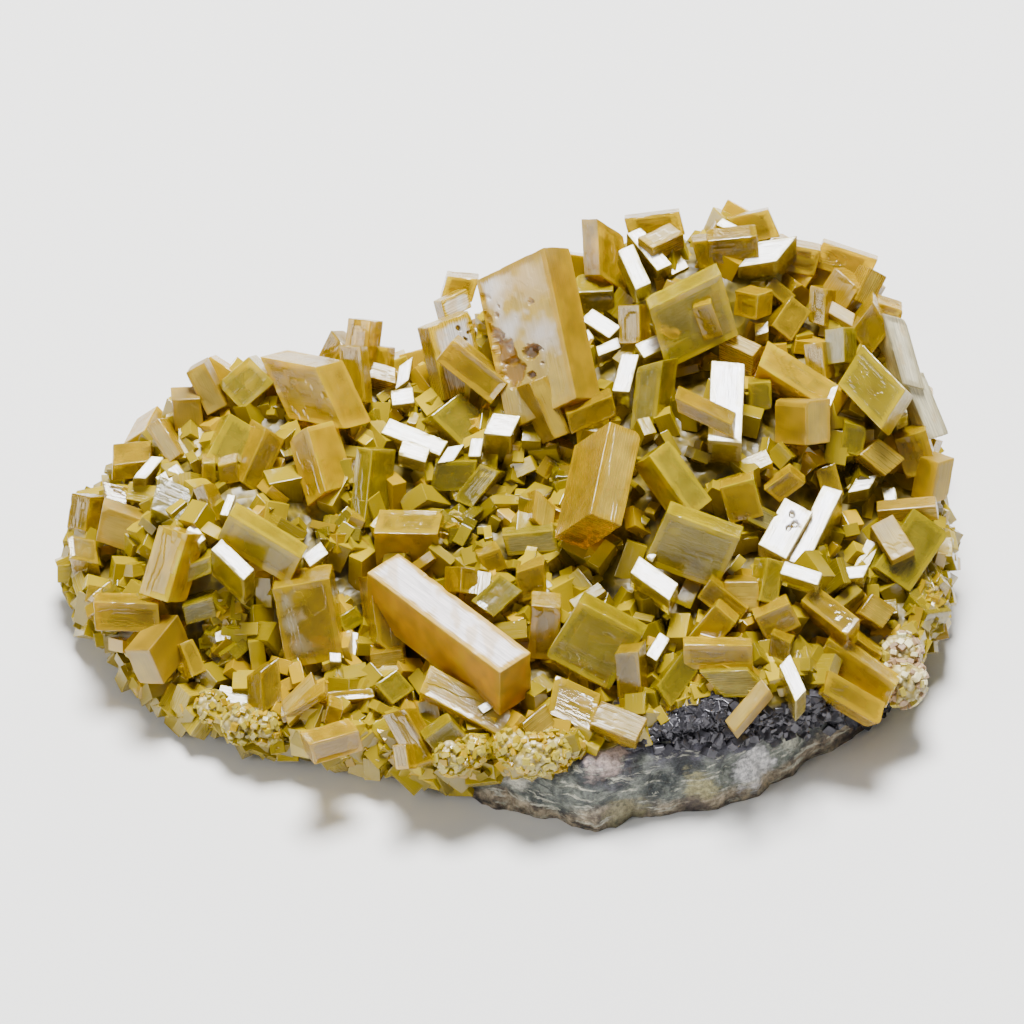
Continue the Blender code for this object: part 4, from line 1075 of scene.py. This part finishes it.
def knob_material():
    """Fine-grained pale barite: sugary lumps, cream with yellow hollows."""
    made, tree, shader, _ = new_material("cream_barite_sugary")
    apart = cell_distance(tree, 0.9)
    colour = mixed(tree, ranged(tree, apart, high=0.7), rgba("#DDD09C"), rgba("#8F7C2C"))
    fill(shader, Base_Color=colour, Normal=bumped(tree, apart, 0.8, 0.5, True), Roughness=0.35)
    return made


def druse_material():
    """Sooty iron and manganese ore: tiny grey-black crystals with a metallic glint."""
    made, tree, shader, _ = new_material("blue_black_ore_druse")
    grain = noise(tree, add_node(tree, "TexCoord").outputs["Object"], 0.9, 3.0)
    colour = mixed(tree, grain, rgba("#1F1E21"), rgba("#5C5A60"))
    fill(shader, Base_Color=colour, Roughness=0.25, Metallic=0.5)
    return made


class BariteSettings(bpy.types.PropertyGroup):
    """Sizes and colours of the specimen that a user would change."""

    clearness: bpy.props.FloatProperty(
        name="Clearness", description="Share of the light that a crystal lets through", default=0.6,
        min=0, max=1, subtype="FACTOR")
    absorption: bpy.props.FloatProperty(
        name="Absorption", description="How strongly the depth of a crystal colours light, per metre",
        default=560.0, min=0)
    bevel: bpy.props.FloatProperty(
        name="Edge rounding", description="Radius of the crystals' edges", default=0.14 * MM,
        unit="LENGTH", subtype="DISTANCE")
    small_count: bpy.props.IntProperty(
        name="Small crystals", description="How many small crystals fill the crust", default=1700, min=0)
    floor_colour: bpy.props.FloatVectorProperty(
        name="Floor", description="Colour of the floor", subtype="COLOR", default=rgba("#E9E8E6")[:3])
    floor_size: bpy.props.FloatProperty(
        name="Floor size", description="Side of the floor", default=3.0, unit="LENGTH", subtype="DISTANCE")


class BARITE_OT_rock(bpy.types.Operator):
    """The slab of rock: an outline in plan, domed to its top, with lumps, grit and bedding ledges"""

    bl_idname = "barite.rock"
    bl_label = "Rock"

    def execute(self, context):
        def wobble(p):
            x, y, z = p[..., 0], p[..., 1], p[..., 2]
            turned = np.stack((x * 0.25, y * 0.25, z - 0.36 * x), axis=-1)
            ledges = 1 - 2 * np.abs(smooth_noise(turned, 2.2, 12))
            lumps = 0.7 * smooth_noise(p, 9, seed=3) + 0.75 * rough_noise(p, 3.4, seed=5, octaves=5)
            return lumps + 0.5 * ledges - 0.3

        points, faces = dome_surface(
            ROCK_OUTLINE, ground, rock_top, ROCK_ROUNDNESS, ROCK_CELLS, wobble
        )
        points[:, 2] = np.maximum(points[:, 2], 0)
        piece = make_piece("rock_with_bands", points, faces, rock_material(), smooth=True)
        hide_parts("rock_matrix")
        return {"FINISHED"}


class BARITE_OT_crust(bpy.types.Operator):
    """The crust between the crystals: a dome over the rock, pebbled by noise"""

    bl_idname = "barite.crust"
    bl_label = "Crust"

    def execute(self, context):
        def wobble(p):
            return 0.9 * rough_noise(p, 4.0, seed=8) - 0.4

        points, faces = dome_surface(
            CRUST_OUTLINE, crust_floor, crust_top, CRUST_ROUNDNESS, CRUST_CELLS, wobble
        )
        piece = make_piece(
            "crust_between_crystals", points, faces, crust_material(), smooth=True
        )
        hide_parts("barite_crystals")
        return {"FINISHED"}


class BARITE_OT_crystals(bpy.types.Operator):
    """The crystals read from the view: bevelled, terraced, chipped blocks with their roots"""

    bl_idname = "barite.crystals"
    bl_label = "Crystals"

    def execute(self, context):
        bevel = context.scene.barite.bevel / MM
        ordered = sorted(CRYSTALS, key=face_area, reverse=True)
        for name, number, counts, seed, clear in CRYSTAL_GROUPS:
            group, ordered = ordered[:number], ordered[number:]
            blocks, roots = read_blocks(group)
            tints = [c.tint for c in group]
            rooted = [c.tint._replace(face=c.tint.side) for c in group if c.rise > ROOT_FROM * c.thick]
            shells = [
                grow(blocks, counts, bevel, seed, relief=np.array([t.relief for t in tints]), chips=3.0,
                     cuts=1, cut_share=0.12),
                grow(roots, SMALL_CELLS, bevel, seed + ROOT_SEED),
            ]
            names = [c.name for c in group]
            crystal_piece(name, shells, tints + rooted, seed, names, clear=clear, lucid=not clear)
        return {"FINISHED"}


class BARITE_OT_back_crystals(bpy.types.Operator):
    """The crystals of the hidden sides"""

    bl_idname = "barite.back_crystals"
    bl_label = "Back crystals"

    def execute(self, context):
        blocks = back_blocks()
        rng = np.random.default_rng(BACK_SEED)
        tints = [(GOLD, OLIVE, PALE, GOLD)[k] for k in rng.integers(0, 4, BACK_COUNT)]
        bevel = context.scene.barite.bevel / MM
        relief = np.full(BACK_COUNT, BACK_RELIEF)
        shell = grow(blocks, BACK_CELLS, bevel, seed=31, relief=relief, chips=2.5, cuts=2)
        crystal_piece("back_crystals", [shell], tints, seed=31)
        return {"FINISHED"}


class BARITE_OT_small_crystals(bpy.types.Operator):
    """Small crystals all over the crust, drawn by a seeded rule and turned at random"""

    bl_idname = "barite.small_crystals"
    bl_label = "Small crystals"

    def execute(self, context):
        count = context.scene.barite.small_count
        rng = np.random.default_rng(5)
        bearing = rng.uniform(-math.pi, math.pi, count)
        wall = rng.uniform(0, 1, count) < WALL_SHARE
        height = rng.uniform(0.06, 0.99, count)
        bare = (bearing > BARE_FRONT[0]) & (bearing < BARE_FRONT[1])
        height = np.where(bare, np.maximum(height, BARE_ABOVE), height)
        plan = np.where(wall, domed(height, CRUST_ROUNDNESS), np.sqrt(rng.uniform(0.0, 0.9, count)))
        places = crust_places(bearing, plan)
        outward = np.stack((np.cos(bearing) * plan**4, np.sin(bearing) * plan**4, 1.05 - plan**4), axis=1)
        outward = unit(outward + rng.normal(0, 0.45, (count, 3)))
        spin = rng.uniform(0, math.pi, count)
        size = rng.uniform(0.6, 1.7, count)[:, None] * rng.uniform(*SMALL_SIZES, (count, 3))
        lift = np.where(wall, -0.15, 0.15)[:, None] * size[:, :1]
        blocks = turned_blocks(places + outward * lift, outward, spin, size / 2)
        # SHADE darkens many small crystals: partly their own olive, partly painted shade of the hollows
        tints = [(GOLD, OLIVE, SHADE, OLIVE, GREY, SHADE, SHADE)[k] for k in rng.integers(0, 7, count)]
        bevel = context.scene.barite.bevel / MM
        shell = grow(blocks, SMALL_CELLS, SMALL_BEVEL_SHARE * bevel, seed=41)
        crystal_piece("small_crystals", [shell], tints, seed=41)

        seen = np.concatenate(
            [rng.uniform(-1, 1, (number, 2)) * reach + middle for middle, reach, number in GAPS]
        )
        seen = on_view(seen)
        centres = in_space(seen, crust_wall_nearness(seen) + rng.uniform(0, 0.8, len(seen)))
        count = len(centres)
        outward = unit(VIEW_NEAR + rng.normal(0, 0.5, (count, 3)))
        size = rng.uniform(0.8, 1.5, count)[:, None] * rng.uniform(*GAP_SIZES, (count, 3))
        blocks = turned_blocks(centres, outward, rng.uniform(0, math.pi, count), size / 2)
        # These fill the gaps, and SHADE gives them painted shade of the gaps on top of their own olive
        tints = [(GOLD, OLIVE, SHADE)[k] for k in rng.integers(0, 3, count)]
        shell = grow(blocks, GAP_CELLS, SMALL_BEVEL_SHARE * bevel, seed=43)
        crystal_piece("gap_crystals", [shell], tints, seed=43, lucid=True)
        return {"FINISHED"}


class BARITE_OT_knobs(bpy.types.Operator):
    """Pale sugary lumps where the crystals meet the rock: spheres set all over with grains"""

    bl_idname = "barite.knobs"
    bl_label = "Pale knobs"

    def execute(self, context):
        rng = np.random.default_rng(13)
        places = on_view([k.place for k in KNOBS])
        radii = np.array([k.radius for k in KNOBS])
        centres = in_space(places, crust_nearness(places))
        v = np.linspace(0, math.pi, 26)[1:-1, None]
        u = np.linspace(0, 2 * math.pi, 36, endpoint=False)[None]
        ball = np.stack((np.sin(v) * np.cos(u), np.sin(v) * np.sin(u), np.cos(v) + 0 * u), axis=-1)
        points, faces, start = [], [], 0
        for centre, radius in zip(centres, radii):
            bumps = 0.86 * radius * (1 + 0.14 * rough_noise(ball * radius + centre, 1.6, seed=6))
            made, quads = closed_grid(centre + ball * bumps[..., None])
            points.append(made)
            faces += [[index + start for index in face] for face in quads]
            start += len(made)
        points = np.concatenate(points)
        make_piece("pale_knobs", points, faces, knob_material(), smooth=True)

        owner = np.repeat(np.arange(len(KNOBS)), GRAINS)
        outward = unit(rng.normal(0, 1, (len(owner), 3)))
        half = rng.uniform(*GRAIN_HALF, (len(owner), 3))
        places = centres[owner] + outward * (0.88 * radii[owner])[:, None]
        grains = turned_blocks(places, outward, rng.uniform(0, 3, len(owner)), half)
        pale, brown = (CREAM, CREAM, GOLD, OLIVE), (BROWN, BROWN, RIND, CREAM)
        draws = rng.integers(0, 4, len(owner))
        tints = [(brown if KNOBS[o].name.startswith("right") else pale)[k] for o, k in zip(owner, draws)]
        shell = grow(grains, SMALL_CELLS, bevel=0.1, seed=71)
        crystal_piece("pale_grains", [shell], tints, seed=71)
        return {"FINISHED"}


class BARITE_OT_ore(bpy.types.Operator):
    """Tiny dark crystals of ore on the rock under the barite"""

    bl_idname = "barite.ore"
    bl_label = "Dark ore"

    def execute(self, context):
        rng = np.random.default_rng(9)
        places = np.concatenate([rng.normal(at, spread, (count, 2)) for at, spread, count in ORE])
        places = on_view(places)
        near = rock_nearness(places)
        on_rock = near < MISSED
        near = np.maximum(near, crust_wall_nearness(places))
        centres = in_space(places, near + 0.2)[on_rock]
        count = len(centres)
        outward = unit(rng.normal(0, 1, (count, 3)))
        half = rng.uniform(*ORE_HALF, (count, 3))
        blocks = turned_blocks(centres, outward, rng.uniform(0, 3, count), half)
        shell = grow(blocks, SMALL_CELLS, bevel=0.08, seed=61)
        shell["points"][:, 2] = np.maximum(shell["points"][:, 2], ORE_GROUND_GAP)
        make_piece("dark_ore", shell["points"], shell["quads"].tolist(), druse_material())
        return {"FINISHED"}


def softbox(name, place, aim, size, power):
    """A round area light at a place in metres, turned to a point."""
    light = bpy.data.lights.new(name, "AREA")
    light.shape = "DISK"
    light.size = size
    light.energy = power
    lamp = bpy.data.objects.new(name, light)
    lamp.location = place
    lamp.rotation_euler = (Vector(aim) - Vector(place)).to_track_quat("-Z", "Y").to_euler()
    bpy.context.scene.collection.objects.link(lamp)


class BARITE_OT_stage(bpy.types.Operator):
    """Pale floor, soft lights and the camera of the slanting front view"""

    bl_idname = "barite.stage"
    bl_label = "Stage"

    def execute(self, context):
        settings = context.scene.barite
        side = settings.floor_size / 2
        mesh = bpy.data.meshes.new("floor")
        corners = [(-side, -side, 0), (side, -side, 0), (side, side, 0), (-side, side, 0)]
        mesh.from_pydata(corners, [], [(0, 1, 2, 3)])
        made, _, shader, _ = new_material("pale_matt_paper")
        fill(shader, Base_Color=(*settings.floor_colour, 1), Roughness=0.8)
        mesh.materials.append(made)
        floor = bpy.data.objects.new("floor", mesh)
        context.scene.collection.objects.link(floor)

        centre = Vector(LIT_POINT)
        to_viewer, up = Vector(VIEW_NEAR), Vector(VIEW_UP)
        glance = math.radians(2 * TO_LIGHT[1])
        mirrored = math.cos(glance) * to_viewer + math.sin(glance) * up
        softbox("flash_light", centre + mirrored * KEY_DISTANCE, centre, KEY_SIZE, KEY_POWER)
        for name, place, size, power in FILLS:
            softbox(name, centre + Vector(place), centre, size, power)
        world = context.scene.world or bpy.data.worlds.new("studio")
        context.scene.world = world
        world.use_nodes = True
        fill(world.node_tree.nodes["Background"], Color=rgba(SKY_COLOUR), Strength=SKY_STRENGTH)

        data = bpy.data.cameras.new("view")
        data.sensor_width = SENSOR
        data.lens = SENSOR * CAMERA_DISTANCE / (VIEW_SIDE * UNIT * MM)
        data.clip_end = 20
        camera = bpy.data.objects.new("view", data)
        middle = in_space(on_view((VIEW_SIDE / 2, VIEW_SIDE / 2)), 0.0) + ORIGIN_SHIFT
        camera.location = Vector(middle * MM) + to_viewer * CAMERA_DISTANCE
        camera.rotation_euler = (-to_viewer).to_track_quat("-Z", "Y").to_euler()
        context.scene.collection.objects.link(camera)
        context.scene.camera = camera
        return {"FINISHED"}


MAKERS = (
    BARITE_OT_stage,
    BARITE_OT_rock,
    BARITE_OT_crust,
    BARITE_OT_crystals,
    BARITE_OT_back_crystals,
    BARITE_OT_small_crystals,
    BARITE_OT_knobs,
    BARITE_OT_ore,
)


class BARITE_PT_panel(bpy.types.Panel):
    """Sizes and colours, and a button for each group of pieces"""

    bl_label = "Barite specimen"
    bl_idname = "BARITE_PT_panel"
    bl_space_type = "VIEW_3D"
    bl_region_type = "UI"
    bl_category = "Barite"

    def draw(self, context):
        for key in BariteSettings.__annotations__:
            self.layout.prop(context.scene.barite, key)
        for maker in MAKERS:
            self.layout.operator(maker.bl_idname)


CLASSES = (BariteSettings, *MAKERS, BARITE_PT_panel)


def register():
    """Adds the settings, the operators and the panel to Blender."""
    for each in CLASSES:
        bpy.utils.register_class(each)
    bpy.types.Scene.barite = bpy.props.PointerProperty(type=BariteSettings)


def unregister():
    """Takes them out again."""
    del bpy.types.Scene.barite
    for each in reversed(CLASSES):
        bpy.utils.unregister_class(each)


def main():
    """Makes the specimen and its stage with the operators."""
    register()
    for maker in MAKERS:
        group, name = maker.bl_idname.split(".")
        getattr(getattr(bpy.ops, group), name)()


if __name__ == "__main__":
    main()
